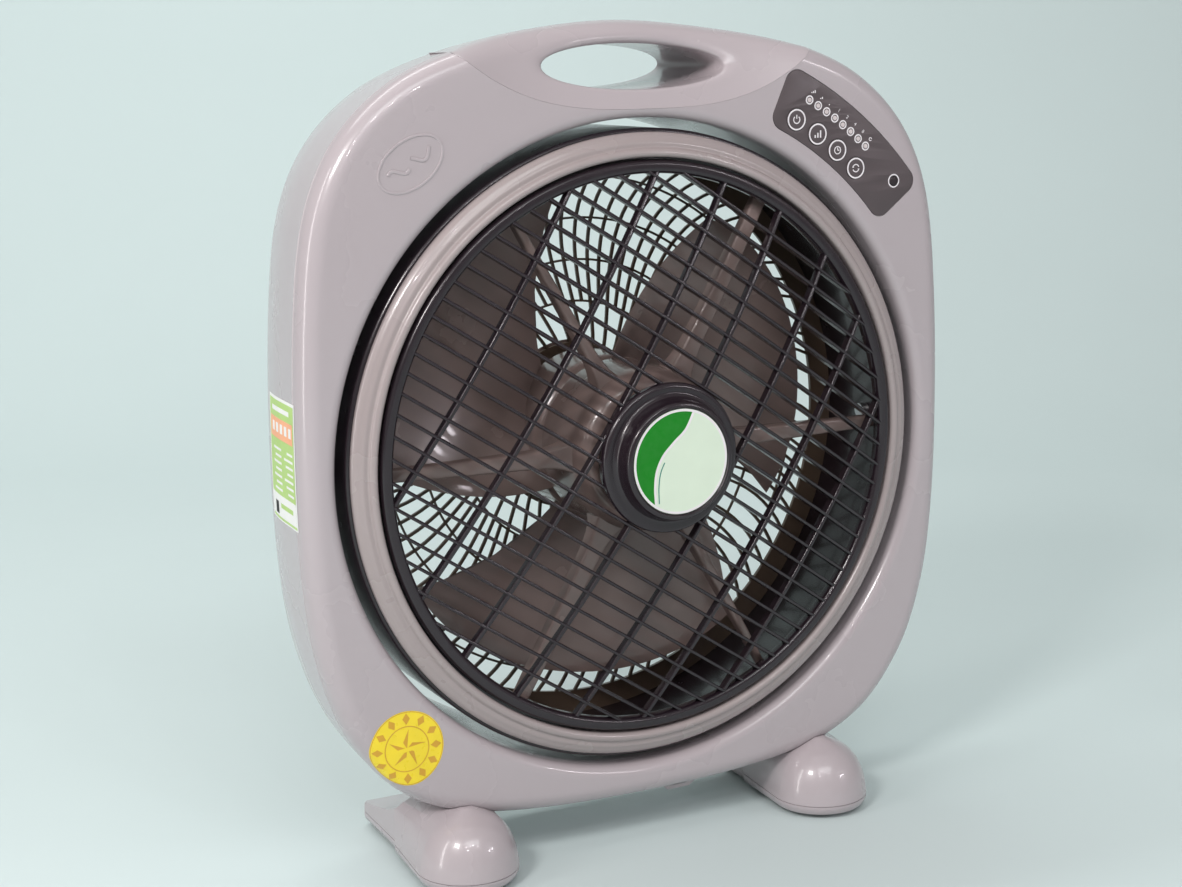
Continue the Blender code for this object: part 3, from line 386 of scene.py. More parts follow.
for name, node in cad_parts.items():
    node.data.materials.clear()
    node.data.materials.append(look_of_node(name))


# ---- housing


def smooth_loop(anchors, pieces):
    """A closed smooth loop through the anchors, with each stretch split into that many pieces."""
    count = len(anchors)
    points = [Vector((x, z, 0)) for x, z in anchors]
    tangents = [(points[(i + 1) % count] - points[i - 1]).normalized() for i in range(count)]
    loop = []
    for i in range(count):
        start, end = points[i], points[(i + 1) % count]
        reach = (end - start).length / 3
        other = end - tangents[(i + 1) % count] * reach
        loop += interpolate_bezier(start, start + tangents[i] * reach, other, end, pieces + 1)[:-1]
    return np.array([(point.x, point.y) for point in loop])


def smooth_curve(knots, count):
    """Points of a smooth open curve through 2D knots."""
    knots = np.array(knots, float)
    lengths = np.r_[0, np.cumsum(np.linalg.norm(np.diff(knots, axis=0), axis=1))]
    slopes = np.gradient(knots, lengths, axis=0)
    at = np.linspace(0, lengths[-1], count)
    i = np.clip(np.searchsorted(lengths, at, side="right") - 1, 0, len(knots) - 2)
    span = (lengths[i + 1] - lengths[i])[:, None]
    t = (at - lengths[i])[:, None] / span
    return (
        (2 * t**3 - 3 * t**2 + 1) * knots[i]
        + (t**3 - 2 * t**2 + t) * span * slopes[i]
        + (-2 * t**3 + 3 * t**2) * knots[i + 1]
        + (t**3 - t**2) * span * slopes[i + 1]
    )


OUTLINE = smooth_loop(list(HALF_OUTLINE) + [(-x, z) for x, z in reversed(HALF_OUTLINE[1:-1])], 12)
ALONG = unit(np.roll(OUTLINE, -1, axis=0) - np.roll(OUTLINE, 1, axis=0))
INWARD = np.stack([ALONG[:, 1], -ALONG[:, 0]], 1)
RADIUS = np.linalg.norm(OUTLINE, axis=1)
TO_CENTRE = -OUTLINE / RADIUS[:, None]
# How squarely each ray to the centre meets the outline, and how wide the face is on it
SLANT = (TO_CENTRE * INWARD).sum(1)
SPAN = (RADIUS - OPENING_RADIUS) * SLANT

# The rounding of the face's edge, as (inset, y) from the parting line to the face
EDGE = [
    (point.x, point.y)
    for point in interpolate_bezier((0, PARTING_Y, 0), (0, 6.2, 0), (4.6, 0, 0), (EDGE_INSET, 0, 0), 15)
]
BACK = smooth_curve(BACK_CURVE, 90)


def ring_at(inset, y):
    """The outline at depth y, moved inwards along its rays by an inset or by one for each ray."""
    xz = OUTLINE + TO_CENTRE * (np.broadcast_to(inset, len(OUTLINE)) / SLANT)[:, None]
    return np.stack([xz[:, 0], np.broadcast_to(y, len(xz)), xz[:, 1]], 1)


def opening_ring(grow, y):
    """The opening's edge at depth y, on the same rays as the outline."""
    xz = -TO_CENTRE * (OPENING_RADIUS + grow)
    return np.stack([xz[:, 0], np.broadcast_to(y, len(xz)), xz[:, 1]], 1)


def back_y(inset):
    """How far back the housing's back lies at this inset."""
    return np.interp(inset, BACK[:, 0], BACK[:, 1])


def back_inset(y):
    """How far in the housing's side wall has come at this depth."""
    return float(np.interp(y, BACK[:, 1], BACK[:, 0]))


def outline_top(x):
    """The outline's height above x."""
    upper = OUTLINE[OUTLINE[:, 1] > 150]
    upper = upper[np.argsort(upper[:, 0])]
    return float(np.interp(x, upper[:, 0], upper[:, 1]))


def handle_arc(x):
    """Height of the handle cover's lower edge at x."""
    return HANDLE_LOW + (HANDLE_END - HANDLE_LOW) * abs(x / HANDLE_HALF) ** 3


def handle_cutter(grow):
    """The space of the handle cover, as sections along x, to cut from both shells."""
    rings = []
    for x in np.linspace(-HANDLE_HALF - grow, HANDLE_HALF + grow, 65):
        low, high = handle_arc(x) - grow, outline_top(x) + 8
        back = HANDLE_BACK + grow
        rings.append([(x, -2, low), (x, -2, high), (x, back, high), (x, back, low)])
    return mesh_of("handle_cutter", capped(rings), None)


def front_shell():
    """The face: a rounded outer edge, a flat band and a lip that rolls into the opening."""
    rings = [ring_at(0.7, PARTING_Y), ring_at(0.0, PARTING_Y - 0.8)]
    rings += [ring_at(inset, y) for inset, y in EDGE[2:]]
    for share in (0.2, 0.45, 0.7, 0.9):
        inset = EDGE_INSET + (SPAN - LIP * SLANT - EDGE_INSET) * share
        rings.append(ring_at(inset, 0))
    for k in range(9):
        turn = radians(90 * k / 8)
        rings.append(opening_ring(LIP * (1 - sin(turn)), LIP * (1 - cos(turn))))
    rings.append(opening_ring(0, PARTING_Y))
    shell = mesh_of("front_shell_skin", grid(np.array(rings), close_u=True, close_v=True), GREY)
    recess = prism("panel_hole", panel_loop(-0.35, PANEL_CORNER), -2, 1.5)
    well = prism("panel_well", panel_loop(2.5, PANEL_CORNER - 2.5), 1, PARTING_Y + 2)
    cut(shell, [handle_cutter(HANDLE_SEAM), recess, well])
    return piece(shell, "frame", "grey_plastic", "front_shell")


def rear_shell():
    """The side walls, the back and the tunnel round the opening."""
    steps = [0.1, 0.3, 0.6, 1.2, 2.0, 2.8, 3.5, 4.6, 6.0, 7.4, 8.5]
    rings = [ring_at(0.7, PARTING_Y + SEAM_GAP), ring_at(0.0, PARTING_Y + SEAM_GAP + 0.8)]
    rings += [ring_at(inset, float(back_y(inset))) for inset in steps]
    edge_round = 3.0
    last = SPAN - edge_round * SLANT
    for share in np.linspace(0, 1, 17)[1:]:
        inset = steps[-1] + (last - steps[-1]) * share
        rings.append(ring_at(inset, back_y(inset)))
    edge_y = back_y(last)
    for k in range(1, 6):
        turn = radians(90 * k / 5)
        y = edge_y - edge_round * (1 - cos(turn))
        rings.append(opening_ring(edge_round * (1 - sin(turn)), y))
    rings.append(opening_ring(0, PARTING_Y + SEAM_GAP))
    shell = mesh_of("rear_shell_skin", grid(np.array(rings), close_u=True, close_v=True), GREY)
    slot_loop = loop_of(SLOT_HALF, 96, (0, SLOT_Z), SLOT_HIGH / SLOT_HALF)
    past_back = 120
    cutters = [handle_cutter(HANDLE_SEAM), prism("slot_cutter", slot_loop, -2, past_back)]
    for number, (radius, turn) in enumerate(SHELL_SCREWS, 1):
        loop = loop_of(SHELL_SCREW_POCKET, 32, polar(radius, radians(turn)))
        cutters.append(prism(f"screw_pocket_{number}", loop, 40, past_back))
    radius, turn = BUSHING_SPOT
    bushing_loop = loop_of(BUSHING_HOLE, 32, polar(radius, radians(turn)))
    cutters.append(prism("bushing_hole", bushing_loop, 60, past_back))
    cut(shell, cutters)
    return piece(shell, "frame", "grey_plastic", "rear_shell")


def panel_loop(shrink, corner):
    """The control panel's outline: a band between two arcs about the opening, with rounded corners."""
    inner, outer = PANEL_INNER + shrink, PANEL_OUTER - shrink
    start, end = PANEL_FROM + shrink / 250, PANEL_TO - shrink / 250
    loop = []
    for radius, angle, radial, side in (
        (outer, start, 1, 1),
        (outer, end, 1, -1),
        (inner, end, -1, -1),
        (inner, start, -1, 1),
    ):
        pivot_radius = radius - radial * corner
        pivot_angle = angle + side * corner / pivot_radius
        pivot = np.array(polar(pivot_radius, pivot_angle))
        outwards = np.array(polar(1, pivot_angle)) * radial
        sideways = np.array(polar(1, pivot_angle + pi / 2)) * -side
        turns = [radians(90 * k / 10) for k in range(11)][:: radial * side]
        loop += [tuple(pivot + corner * (outwards * sin(t) + sideways * cos(t))) for t in turns]
        if side == radial:
            first = angle + side * corner / radius
            last = (end if radial > 0 else start) - radial * corner / radius
            loop += [polar(radius, first + (last - first) * k / 12) for k in range(1, 12)]
    return loop


def edge_depth(inset, reach):
    """How far back the rounded top edge lies at this inset."""
    t = max(0.0, 1 - inset / reach)
    return HANDLE_EDGE_DEPTH * (1 - sqrt(max(0.0, 1 - t**2.2)))


def handle_cover():
    """The lens round the finger slot, as rings that run from the slot's edge out to the lens's edge."""
    count = 200
    tip = atan2(HANDLE_END - SLOT_Z + 0.5, HANDLE_HALF)
    turns = sorted([tau * i / count for i in range(count)] + [tip, pi - tip])
    shares = np.r_[0, 0.02, 0.05, 0.1, 0.17, 0.25, 0.35, 0.46, 0.58, 0.69, 0.78, 0.86, 0.92, 0.965, 0.99, 1.0]
    columns = []
    for turn in turns:
        across, up = cos(turn), sin(turn)
        inner = 1 / hypot(across / SLOT_HALF, up / SLOT_HIGH)
        outer = reach_of_lens(across, up)
        upper = 0.5 * (1 + tanh(3 * (up - 0.15)))
        roll = 1.5 + 6.5 * upper
        column = []
        for share in shares:
            reach = inner + (outer - inner) * share
            x, z = reach * across, SLOT_Z + reach * up
            inset = outline_top(x) - z
            y = HANDLE_LEAN * max(0.0, z - handle_arc(x)) + edge_depth(inset, EDGE_INSET)
            gap = max(0.0, 1 - (reach - inner) * max(abs(up), 0.35) / roll)
            y += roll * (1 - sqrt(max(0.0, 1 - gap**2)))
            column.append((x, min(y, HANDLE_BACK - 0.5), z))
        x, _, z = column[-1]
        over = z > handle_arc(x) + 0.6 and up > 0
        column.append((x, HANDLE_BACK, z - (back_inset(HANDLE_BACK) if over else 0)))
        x, _, z = column[0]
        column.insert(0, (x, HANDLE_BACK, z))
        columns.append(column)
    cover = mesh_of("handle_cover_skin", grid(columns, close_u=True, close_v=True), GREY, sharp=40)
    return piece(cover, "frame", "grey_plastic", "handle_cover")


def reach_of_lens(across, up):
    """How far the lens's edge is from the slot's centre in this direction."""
    low, high = 10.0, 140.0
    for _ in range(40):
        middle = (low + high) / 2
        x, z = middle * across, SLOT_Z + middle * up
        if abs(x) < HANDLE_HALF and handle_arc(x) < z < outline_top(x):
            low = middle
        else:
            high = middle
    return low


front_shell()
rear_shell()
handle_cover()


# ---- drum

# Profiles of turned parts are (radius, y, how far that corner is rounded)
BARREL = (
    (186, 9.3, 0.6), (186, 7.3, 0.6), (187.5, 4.3, 1), (207, 4.3, 0.8), (208.5, 5.8, 0.8),
    (208.5, 96, 0.8), (206, 96, 0.8), (206, 12.3, 2), (203.5, 9.3, 2),
)
TRIM_RING = (
    (190.3, 4, 0.3), (190.3, -4.2, 1.6), (192.6, -6, 1.6), (195.4, -5.0, 1.2), (196.4, -2.6, 1.0),
    (199.6, -2.8, 1.2), (201.4, -1.6, 1.0), (203.6, -0.6, 1.4), (206, 2.0, 1.2), (206, 4, 0.3),
)


def drum():
    """The barrel, with its flange turned inwards at the front, and the ring that trims it."""
    barrel = mesh_of("drum_skin", spun(BARREL, 4, 192), BLACK)
    piece(barrel, "drum", "black_plastic", "drum_barrel")
    ring = mesh_of("front_ring_skin", spun(TRIM_RING, 4, 240), RING_GREY)
    piece(ring, "drum", "grey_plastic", "front_ring")


drum()


BAR_EDGE = [radians(turn) for turn in (0, 22.5, 45, 67.5, 90)]


def bar(path, widths, y0, y1, round_off=0.45):
    """A bar along (x, z) points, with a width, a front and a back at each point and a rounded front."""
    side = left_of(path)
    rings = []
    for i, (x, z) in enumerate(path):
        half = widths[i] / 2
        r = min(round_off, half * 0.9)
        edge = [(half - r + r * sin(t), y0[i] + r - r * cos(t)) for t in BAR_EDGE]
        section = [(-s, y) for s, y in reversed(edge)] + edge
        section += [(half, y1[i] - r), (half - r, y1[i]), (-half + r, y1[i]), (-half, y1[i] - r)]
        rings.append([(x + side[i, 0] * s, y, z + side[i, 1] * s) for s, y in section])
    return capped(rings)


GUARD_Y = 96.3
GUARD_THICK = 2.6
GUARD_RINGS = (58.0, 87.0, 116.0, 145.0, 174.0)
GUARD_RIM = 190.0
GUARD_OUTER = 208.0
GUARD_DOME = 15.0
GUARD_SPOKES = 80
GUARD_SPOKE_WIDTH = 2.1
GUARD_PHASE = radians(3.97)
# The spokes curve away from their ray by this much per square millimetre from this radius
GUARD_BEND = radians(0.0021)
GUARD_BEND_FROM = 135.0
MOTOR_RADIUS = 46.0


def guard_spot(radius, turn):
    """The point of a curved spoke at this radius, for a spoke whose ray has this turn."""
    return polar(radius, turn + GUARD_PHASE - GUARD_BEND * (radius - GUARD_BEND_FROM) ** 2)


def domed(shape):
    """A shape moved back by the guard's dome."""
    points = np.array(shape[0])
    points[:, 1] += bulge(np.hypot(points[:, 0], points[:, 2]), GUARD_RIM, GUARD_DOME)
    return points, shape[1]


def rear_guard():
    """Curved spokes, every other one from the second ring outwards, with rings and a flat edge band."""
    parts = []
    for i in range(GUARD_SPOKES):
        inner = GUARD_RINGS[0] - 1 if i % 2 == 0 else GUARD_RINGS[1]
        radii = np.linspace(inner, GUARD_RIM + 1, 18)
        path = [guard_spot(r, tau * i / GUARD_SPOKES) for r in radii]
        level = np.full(len(path), GUARD_Y)
        parts.append(domed(bar(path, [GUARD_SPOKE_WIDTH] * len(path), level, level + GUARD_THICK)))
    front, back = GUARD_Y + 0.6, GUARD_Y + GUARD_THICK - 0.3
    for radius in GUARD_RINGS[1:]:
        inner, outer = radius - 0.8, radius + 0.8
        profile = ((inner, front, 0.4), (outer, front, 0.4), (outer, back, 0.4), (inner, back, 0.4))
        parts.append(domed(spun(profile, 2, 144)))
    for inner, outer in ((GUARD_RIM, GUARD_OUTER), (MOTOR_RADIUS + 0.4, GUARD_RINGS[0])):
        radii = np.linspace(inner, outer, 5)
        band = [(r, GUARD_Y) for r in radii] + [(r, GUARD_Y + GUARD_THICK) for r in radii[::-1]]
        parts.append(domed(lathe(band, 144)))
    guard = mesh_of("rear_guard_skin", joined(parts), GUARD, weld=0.0001)
    piece(guard, "drum", "brown_plastic", "rear_guard")


rear_guard()


MOTOR_CASE = (
    (0, 117, 0), (42, 117, 3), (46, 113, 3), (46, 66.3, 0.5),
    (44, 66.3, 0.5), (44, 112, 3), (40, 115, 2), (0, 115, 0),
)
MOTOR_COVER = (
    (0, 122, 0), (50, 122, 8), (58, 118, 3), (60, 113.4, 0.6),
    (57, 113.4, 0.6), (55.5, 116.4, 1), (50, 119.5, 6), (0, 119.5, 0),
)
VENTS = 24
VENT_ENDS = (26, 44)
VENT_HALF = 1.3


def motor():
    """The motor's case, and behind it a cover with radial vents."""
    case = mesh_of("motor_case_skin", spun(MOTOR_CASE, 4, 96), ZINC)
    piece(case, "drum", "zinc_sheet", "motor_case")
    cover = mesh_of("motor_cover_skin", spun(MOTOR_COVER, 6, 128), BROWN)
    slots = []
    for i in range(VENTS):
        turn = tau * i / VENTS
        across = np.array(polar(VENT_HALF, turn + pi / 2))
        near, far = (np.array(polar(radius, turn)) for radius in VENT_ENDS)
        loop = [near - across, far - across, far + across, near + across]
        slots.append(prism(f"vent_{i}", loop, 118, 124))
    cut(cover, slots)
    piece(cover, "drum", "brown_plastic", "motor_cover")


motor()

# The widths of the spider's arms at the hub and at the barrel; opposite arms are alike
ARM_WIDTHS = ((12.0, 8.0), (12.0, 10.0), (8.0, 5.0))
SPIDER_HUB = (
    (17.3, -10, 0.4), (42, -10, 7), (50, -7.5, 8), (55, 3, 9), (55, 47, 1.2),
    (52.5, 47, 0.8), (52.5, 6, 7), (48, -5, 6), (42, -7.5, 5), (17.3, -7.5, 0.4),
)


def spider():
    """The hub in front of the blades and the six arms that hold it in the barrel."""
    parts = [spun(SPIDER_HUB, 6, 128)]
    for i in range(6):
        at_hub, at_barrel = ARM_WIDTHS[i % 3]
        path = [(r, 0.0) for r in np.linspace(53.2, 190, 24)]
        fade = np.linspace(0, 1, 24)
        foot = np.exp(-fade * 16)
        widths = at_hub + (at_barrel - at_hub) * fade + 9 * foot
        front = 6 + 3.7 * fade**3 - 3 * foot
        back = 17 + 5 * foot
        parts.append(turned(bar(path, widths, front, back, 1.8), tau * i / 6))
    obj = mesh_of("spider_skin", joined(parts), BROWN, weld=0.0001)
    holes = []
    for turn in (150, 210, 30, 330):
        x, z = polar(37, radians(turn))
        holes.append(prism(f"hub_hole_{turn}", slab(x - 3, x + 3, z - 4, z + 4), -14, -4))
    cut(obj, holes)
    piece(obj, "drum", "brown_plastic", "front_spider")


spider()


# ---- impeller


BLADE_ROOT = 50.0
BLADE_TIP = 169.0
BLADE_FRONT = 48.0
BLADE_BACK = 93.0
# Degrees about the axis: a blade's middle at its root, how far it sweeps back by its tip, and half its width
BLADE_TURN = 52
BLADE_SWEEP = 32
BLADE_HALF = 43
BLADE_CELLS = 24
IMPELLER_HUB = (
    (4.4, 52, 0.3), (51, 52, 3), (56, 57, 3), (56, 95, 0.8), (53.5, 95, 0.8),
    (53.5, 60, 3), (49, 54.5, 3), (12, 54.5, 0.5), (12, 61, 0.5), (4.4, 61, 0.3),
)


def blade_point(across, out):
    """A point of one blade: across runs from the front edge to the back edge, out from root to tip."""
    spread = 2 * across - 1
    radius = (BLADE_ROOT + (BLADE_TIP - BLADE_ROOT) * out) * (1 - 0.04 * out * spread**4)
    x, z = polar(radius, radians(BLADE_TURN - BLADE_SWEEP * out**0.7 - BLADE_HALF * spread))
    y = BLADE_FRONT + (BLADE_BACK - BLADE_FRONT) * across + 3 * sin(pi * across)
    return (x, y, z)


def impeller():
    """The hub and its three wide blades, thin at their edges."""
    shapes = [spun(IMPELLER_HUB, 5, 96)]
    shares = np.arange(BLADE_CELLS + 1) / BLADE_CELLS
    for number in range(3):
        front = np.array([[blade_point(across, out) for out in shares] for across in shares])
        normal = unit(np.cross(np.gradient(front, axis=0), np.gradient(front, axis=1)))
        across, out = np.meshgrid(shares, shares, indexing="ij")
        thin = np.minimum(1, 12 * np.minimum(np.minimum(across, 1 - across), 1.2 * (1 - out)))
        half = (0.3 + 0.8 * np.sqrt(thin))[:, :, None]
        rings = np.concatenate([front + normal * half, (front - normal * half)[:, ::-1]], axis=1)
        shapes.append(turned(capped(rings), tau * number / 3))
    obj = mesh_of("impeller_skin", joined(shapes), BROWN, weld=0.0001, sharp=50)
    piece(obj, "impeller", "brown_plastic", "impeller")


impeller()


# ---- louver

LOUVER_RIM = 180.0
LOUVER_DOME = 25.0
LOUVER_TURN = radians(-33.5)
LOUVER_HOLE = 45.5
# Slats and cross bars: turn, pitch, how many on each side of the middle, width, front and back
LOUVER_BARS = (
    (0, 12.6, 13, 2.2, -4.6, 3.0),
    (pi / 2, 47.0, 3, 2.8, -3.8, 3.0),
)
LOUVER_EDGE = (
    (180, -3, 1.4), (182, -5.2, 1.4), (187, -5.2, 1.4), (188.5, -3, 1.2), (188.5, 3, 0.8), (180, 3, 0.8),
)
CAP_SEAT = ((4.2, -26, 0.8), (47, -25, 0.8), (47, -19, 0.8), (4.2, -20, 0.8))
CAP = (
    (4.4, -42.4, 0.3), (34.8, -42.4, 0.3), (35.4, -43.6, 0.5), (37.6, -43.2, 1.2), (38.8, -40.6, 2.5),
    (40.2, -33, 1.6), (42.2, -31.2, 1.2), (47.2, -31.4, 1.6), (49, -29.6, 1.4), (49, -26, 0.5),
    (41, -26, 1), (36, -39, 1), (4.4, -39, 0.3),
)


def louver():
    """The turning grille, with slats that are cut short at the cap, and the cap itself."""
    parts = []
    for direction, pitch, number, width, y0, y1 in LOUVER_BARS:
        for k in range(-number, number + 1):
            offset = k * pitch
            reach = sqrt((LOUVER_RIM + 1.5) ** 2 - offset**2)
            stretches = [(-reach, reach)]
            if abs(offset) < LOUVER_HOLE:
                near = sqrt(LOUVER_HOLE**2 - offset**2)
                stretches = [(-reach, -near), (near, reach)]
            for start, end in stretches:
                along = np.linspace(start, end, max(4, int(abs(end - start) / 6)))
                path = np.stack([along, np.full_like(along, offset)], 1)
                lift = bulge(np.hypot(along, offset), LOUVER_RIM, LOUVER_DOME)
                shape = bar(path, [width] * len(path), y0 - lift, y1 - lift, 0.9)
                parts.append(turned(shape, direction + LOUVER_TURN))
    parts.append(spun(LOUVER_EDGE, 4, 192))
    parts.append(spun(CAP_SEAT, 3, 96))
    grille = mesh_of("louver_skin", joined(parts), BLACK, weld=0.0001)
    piece(grille, "louver", "black_plastic", "louver_grille")
    cap = mesh_of("louver_cap_skin", spun(CAP, 5, 144), BLACK)
    piece(cap, "louver", "black_plastic", "louver_cap")


louver()


# ---- controls

KEYS = ("power", "speed", "timer", "louver")
# (radius, turn) about the opening's centre
BUTTONS = {name: (239, radians(61.7 - 4.65 * i)) for i, name in enumerate(KEYS)}
LAMPS = [(255, radians(61.0 - 1.77 * i)) for i in range(8)]
RECEIVER = (254.7, radians(41.0))
KEY = (
    (0, -0.75, 0), (5.9, -0.75, 1.2), (7.2, -0.3, 0.5), (7.2, 2.4, 0.3),
    (2, 2.4, 0.3), (2, 4.4, 0.3), (0, 4.4, 0),
)
LAMP = ((0, -0.35, 0), (1.5, -0.15, 0.4), (1.6, 2, 0.2), (0, 2, 0))
WINDOW = ((0, -0.9, 0), (2.6, -0.75, 1.5), (3.4, 0.2, 0.6), (3.4, 4, 0.3), (0, 4, 0))
PRINT_Y = -0.26


def annulus(name, at, inner, outer, y, count=40):
    """A thin printed ring."""
    return flat(name, [loop_of(outer, count, at), loop_of(inner, count, at)], y - 0.06, y + 0.02, WHITE)


def moved(shape, at):
    """A polygon of (x, z) points, moved to at."""
    return [(at[0] + x, at[1] + z) for x, z in shape]


def strokes(name, shapes, y):
    """Small printed polygons, as thin solids with their front at y."""
    parts = [capped([[(x, depth, z) for x, z in shape] for depth in (y, y + 0.06)]) for shape in shapes]
    return mesh_of(name, joined(parts), WHITE, weld=0.0001)


def arc_band(inner, outer, start, end, count=10):
    """Part of a ring, from one angle to another in degrees."""
    turns = [radians(start + (end - start) * k / count) for k in range(count + 1)]
    return [polar(outer, t) for t in turns] + [polar(inner, t) for t in reversed(turns)]


SYMBOLS = {
    "power": [arc_band(2.1, 2.8, 130, 410), slab(-0.35, 0.35, 0.6, 3.2)],
    "speed": [slab(-2.6, -1.6, -2.4, -0.6), slab(-0.5, 0.5, -2.4, 0.8), slab(1.6, 2.6, -2.4, 2.4)],
    "timer": [arc_band(2.2, 2.8, 0, 359), slab(-0.3, 0.3, 0, 1.8), slab(0, 1.4, -0.3, 0.3)],
    "louver": [
        arc_band(2.1, 2.8, 20, 150),
        arc_band(2.1, 2.8, 200, 330),
        [(-2.9, 0.4), (-1.4, 0.4), (-2.3, 1.9)],
        [(2.9, -0.4), (1.4, -0.4), (2.3, -1.9)],
    ],
}


def controls():
    """The printed panel with its keys, lamps and receiver window, and what is printed beside them."""
    holes = [loop_of(7.5, 40, polar(*spot)) for spot in BUTTONS.values()]
    holes += [loop_of(1.9, 20, polar(*spot)) for spot in LAMPS]
    holes.append(loop_of(3.7, 28, polar(*RECEIVER)))
    panel = flat("panel_skin", [panel_loop(0, PANEL_CORNER)] + holes, -0.2, 0.9, DARK, bevel=0.25)
    piece(panel, "frame", "panel_brown", "control_panel")
    for name, spot in BUTTONS.items():
        at = polar(*spot)
        skin = mesh_of(name + "_key_skin", spun(KEY, 5, 48, at), DARK)
        piece(skin, name + "_key", "panel_brown", name + "_button")
        ring = annulus(name + "_key_ring", at, 6.0, 7.0, -0.72)
        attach(ring, name + "_key")
        sign = strokes(name + "_key_sign", [moved(shape, at) for shape in SYMBOLS[name]], -0.83)
        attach(sign, name + "_key")
    bulbs = []
    for i, spot in enumerate(LAMPS):
        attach(annulus(f"lamp_ring_{i + 1}", polar(*spot), 2.15, 3.0, -0.2, count=28), "frame")
        bulbs.append(spun(LAMP, 4, 20, polar(*spot)))
    lamps = mesh_of("lamps_skin", joined(bulbs), SMOKE, weld=0.0001)
    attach(lamps, "frame")
    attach(annulus("receiver_ring", polar(*RECEIVER), 3.75, 4.6, -0.2), "frame")
    window = mesh_of("receiver_skin", spun(WINDOW, 5, 36, polar(*RECEIVER)), SMOKE)
    piece(window, "frame", "smoked_plastic", "receiver_window")
    # Beside the lamps: bars for the speeds, figures for the hours and a ring for the last one
    marks = []
    for count, (radius, turn) in zip((3, 2, 1), LAMPS):
        at = polar(radius + 6.2, turn)
        for k in range(count):
            marks.append(moved(slab(-1.6 + 1.3 * k, -0.8 + 1.3 * k, -1, -0.3 + 0.6 * k), at))
    radius, turn = LAMPS[-1]
    marks.append(moved(arc_band(0.8, 1.3, 0, 320), polar(radius + 6, turn)))
    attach(strokes("lamp_marks", marks, PRINT_Y), "frame")
    for (radius, turn), digit in zip(LAMPS[3:], "1248"):
        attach(figure(f"hours_{digit}", digit, polar(radius + 6, turn), 3.2, PRINT_Y), "frame")


def figure(name, text, at, size, y):
    """A generic printed figure, turned to stand square to the panel's arc."""
    curve = bpy.data.curves.new(name, "FONT")
    curve.body = text
    curve.size = size
    curve.align_x = "CENTER"
    curve.align_y = "CENTER"
    curve.extrude = 0.03
    mesh = solid_of(name, curve)
    turn = atan2(at[1], at[0]) - pi / 2
    points = []
    for vert in mesh.vertices:
        x, z = tilted(vert.co.x, vert.co.y, turn, at)
        points.append((x, y - vert.co.z, z))
    return mesh_of(name, (points, [list(face.vertices) for face in mesh.polygons]), WHITE, weld=0.001)


controls()


# ---- feet

FOOT_X = 136.0
FOOT_SOLE = -267.0
FOOT_NOSE_Y = 2.0
FOOT_STEP_Y = 56.0
FOOT_SEAM = (6.0, 6.5)
# Height above the sole, the nose's radius, half the width at the flanks and where the heel ends
FOOT_LEVELS = (
    (0, 31.5, 27.5, 125), (2, 33, 29, 126), (13, 33.2, 29, 125), (18, 32.2, 29, 102), (23, 30.7, 29, 80),
    (32, 26, 28.5, 60), (38, 20.3, 26, 54), (42, 13.7, 22, 50), (46.5, 4, 14, 46),
)


def body_cutter(grow):
    """The housing's outer form as one solid, a little larger, to cut the feet with."""
    rings = [ring_at(inset - grow, y - grow) for inset, y in reversed(EDGE[1:])]
    rings += [ring_at(float(inset) - grow, float(y) + grow * (y > 90)) for inset, y in BACK[::4]]
    return mesh_of("body_cutter", capped(rings), None)


def feet():
    """Level outlines from the sole up: a round nose, flat flanks and a narrower heel behind a step."""
    levels = np.array(FOOT_LEVELS, float)
    curve = smooth_curve(levels[:, :2], 60)
    heights = np.r_[0.0, 0.4, 1.2, curve[curve[:, 0] > 2.5, 0]]
    for middle, word in ((-FOOT_X, "left"), (FOOT_X, "right")):
        rings = []
        for height in heights:
            nose = np.interp(height, curve[:, 0], curve[:, 1])
            flank, end = (np.interp(height, levels[:, 0], levels[:, k]) for k in (2, 3))
            outline = moved([polar(nose, pi * (1 + k / 48)) for k in range(49)], (0, FOOT_NOSE_Y))
            step = min(FOOT_STEP_Y, end - 6)
            right = [(flank, step), (flank - 2.5, step + 1.5), (flank - 4, end - 3), (flank - 7, end)]
            outline += right + [(-x, y) for x, y in reversed(right)]
            rings.append([(middle + x, y, FOOT_SOLE + height) for x, y in outline])
        foot = mesh_of(word + "_foot_skin", capped(rings), GREY)
        low, high = (FOOT_SOLE + height for height in FOOT_SEAM)
        outer = [(middle + (x - middle) * 1.02, y * 1.01) for x, y, _ in rings[6]]
        inner = [
            (middle + (x - middle) * 0.965, FOOT_NOSE_Y + (y - FOOT_NOSE_Y) * 0.965) for x, y in outer
        ]
        corners = ((outer, low), (outer, high), (inner, high), (inner, low))
        groove = [[(x, y, z) for x, y in loop] for loop, z in corners]
        seam_cutter = mesh_of("seam_cutter", grid(groove, close_u=True, close_v=True), None)
        cut(foot, [body_cutter(0.3), seam_cutter], sharp=40)
        piece(foot, "frame", "grey_plastic", word + "_foot")


feet()


# ---- labels


def outline_at(x, z):
    """(radius, slant) of the outline on the ray through this point."""
    turns = np.arctan2(OUTLINE[:, 1], OUTLINE[:, 0])
    turn = atan2(z, x)
    return tuple(float(np.interp(turn, turns, values, period=tau)) for values in (RADIUS, SLANT))


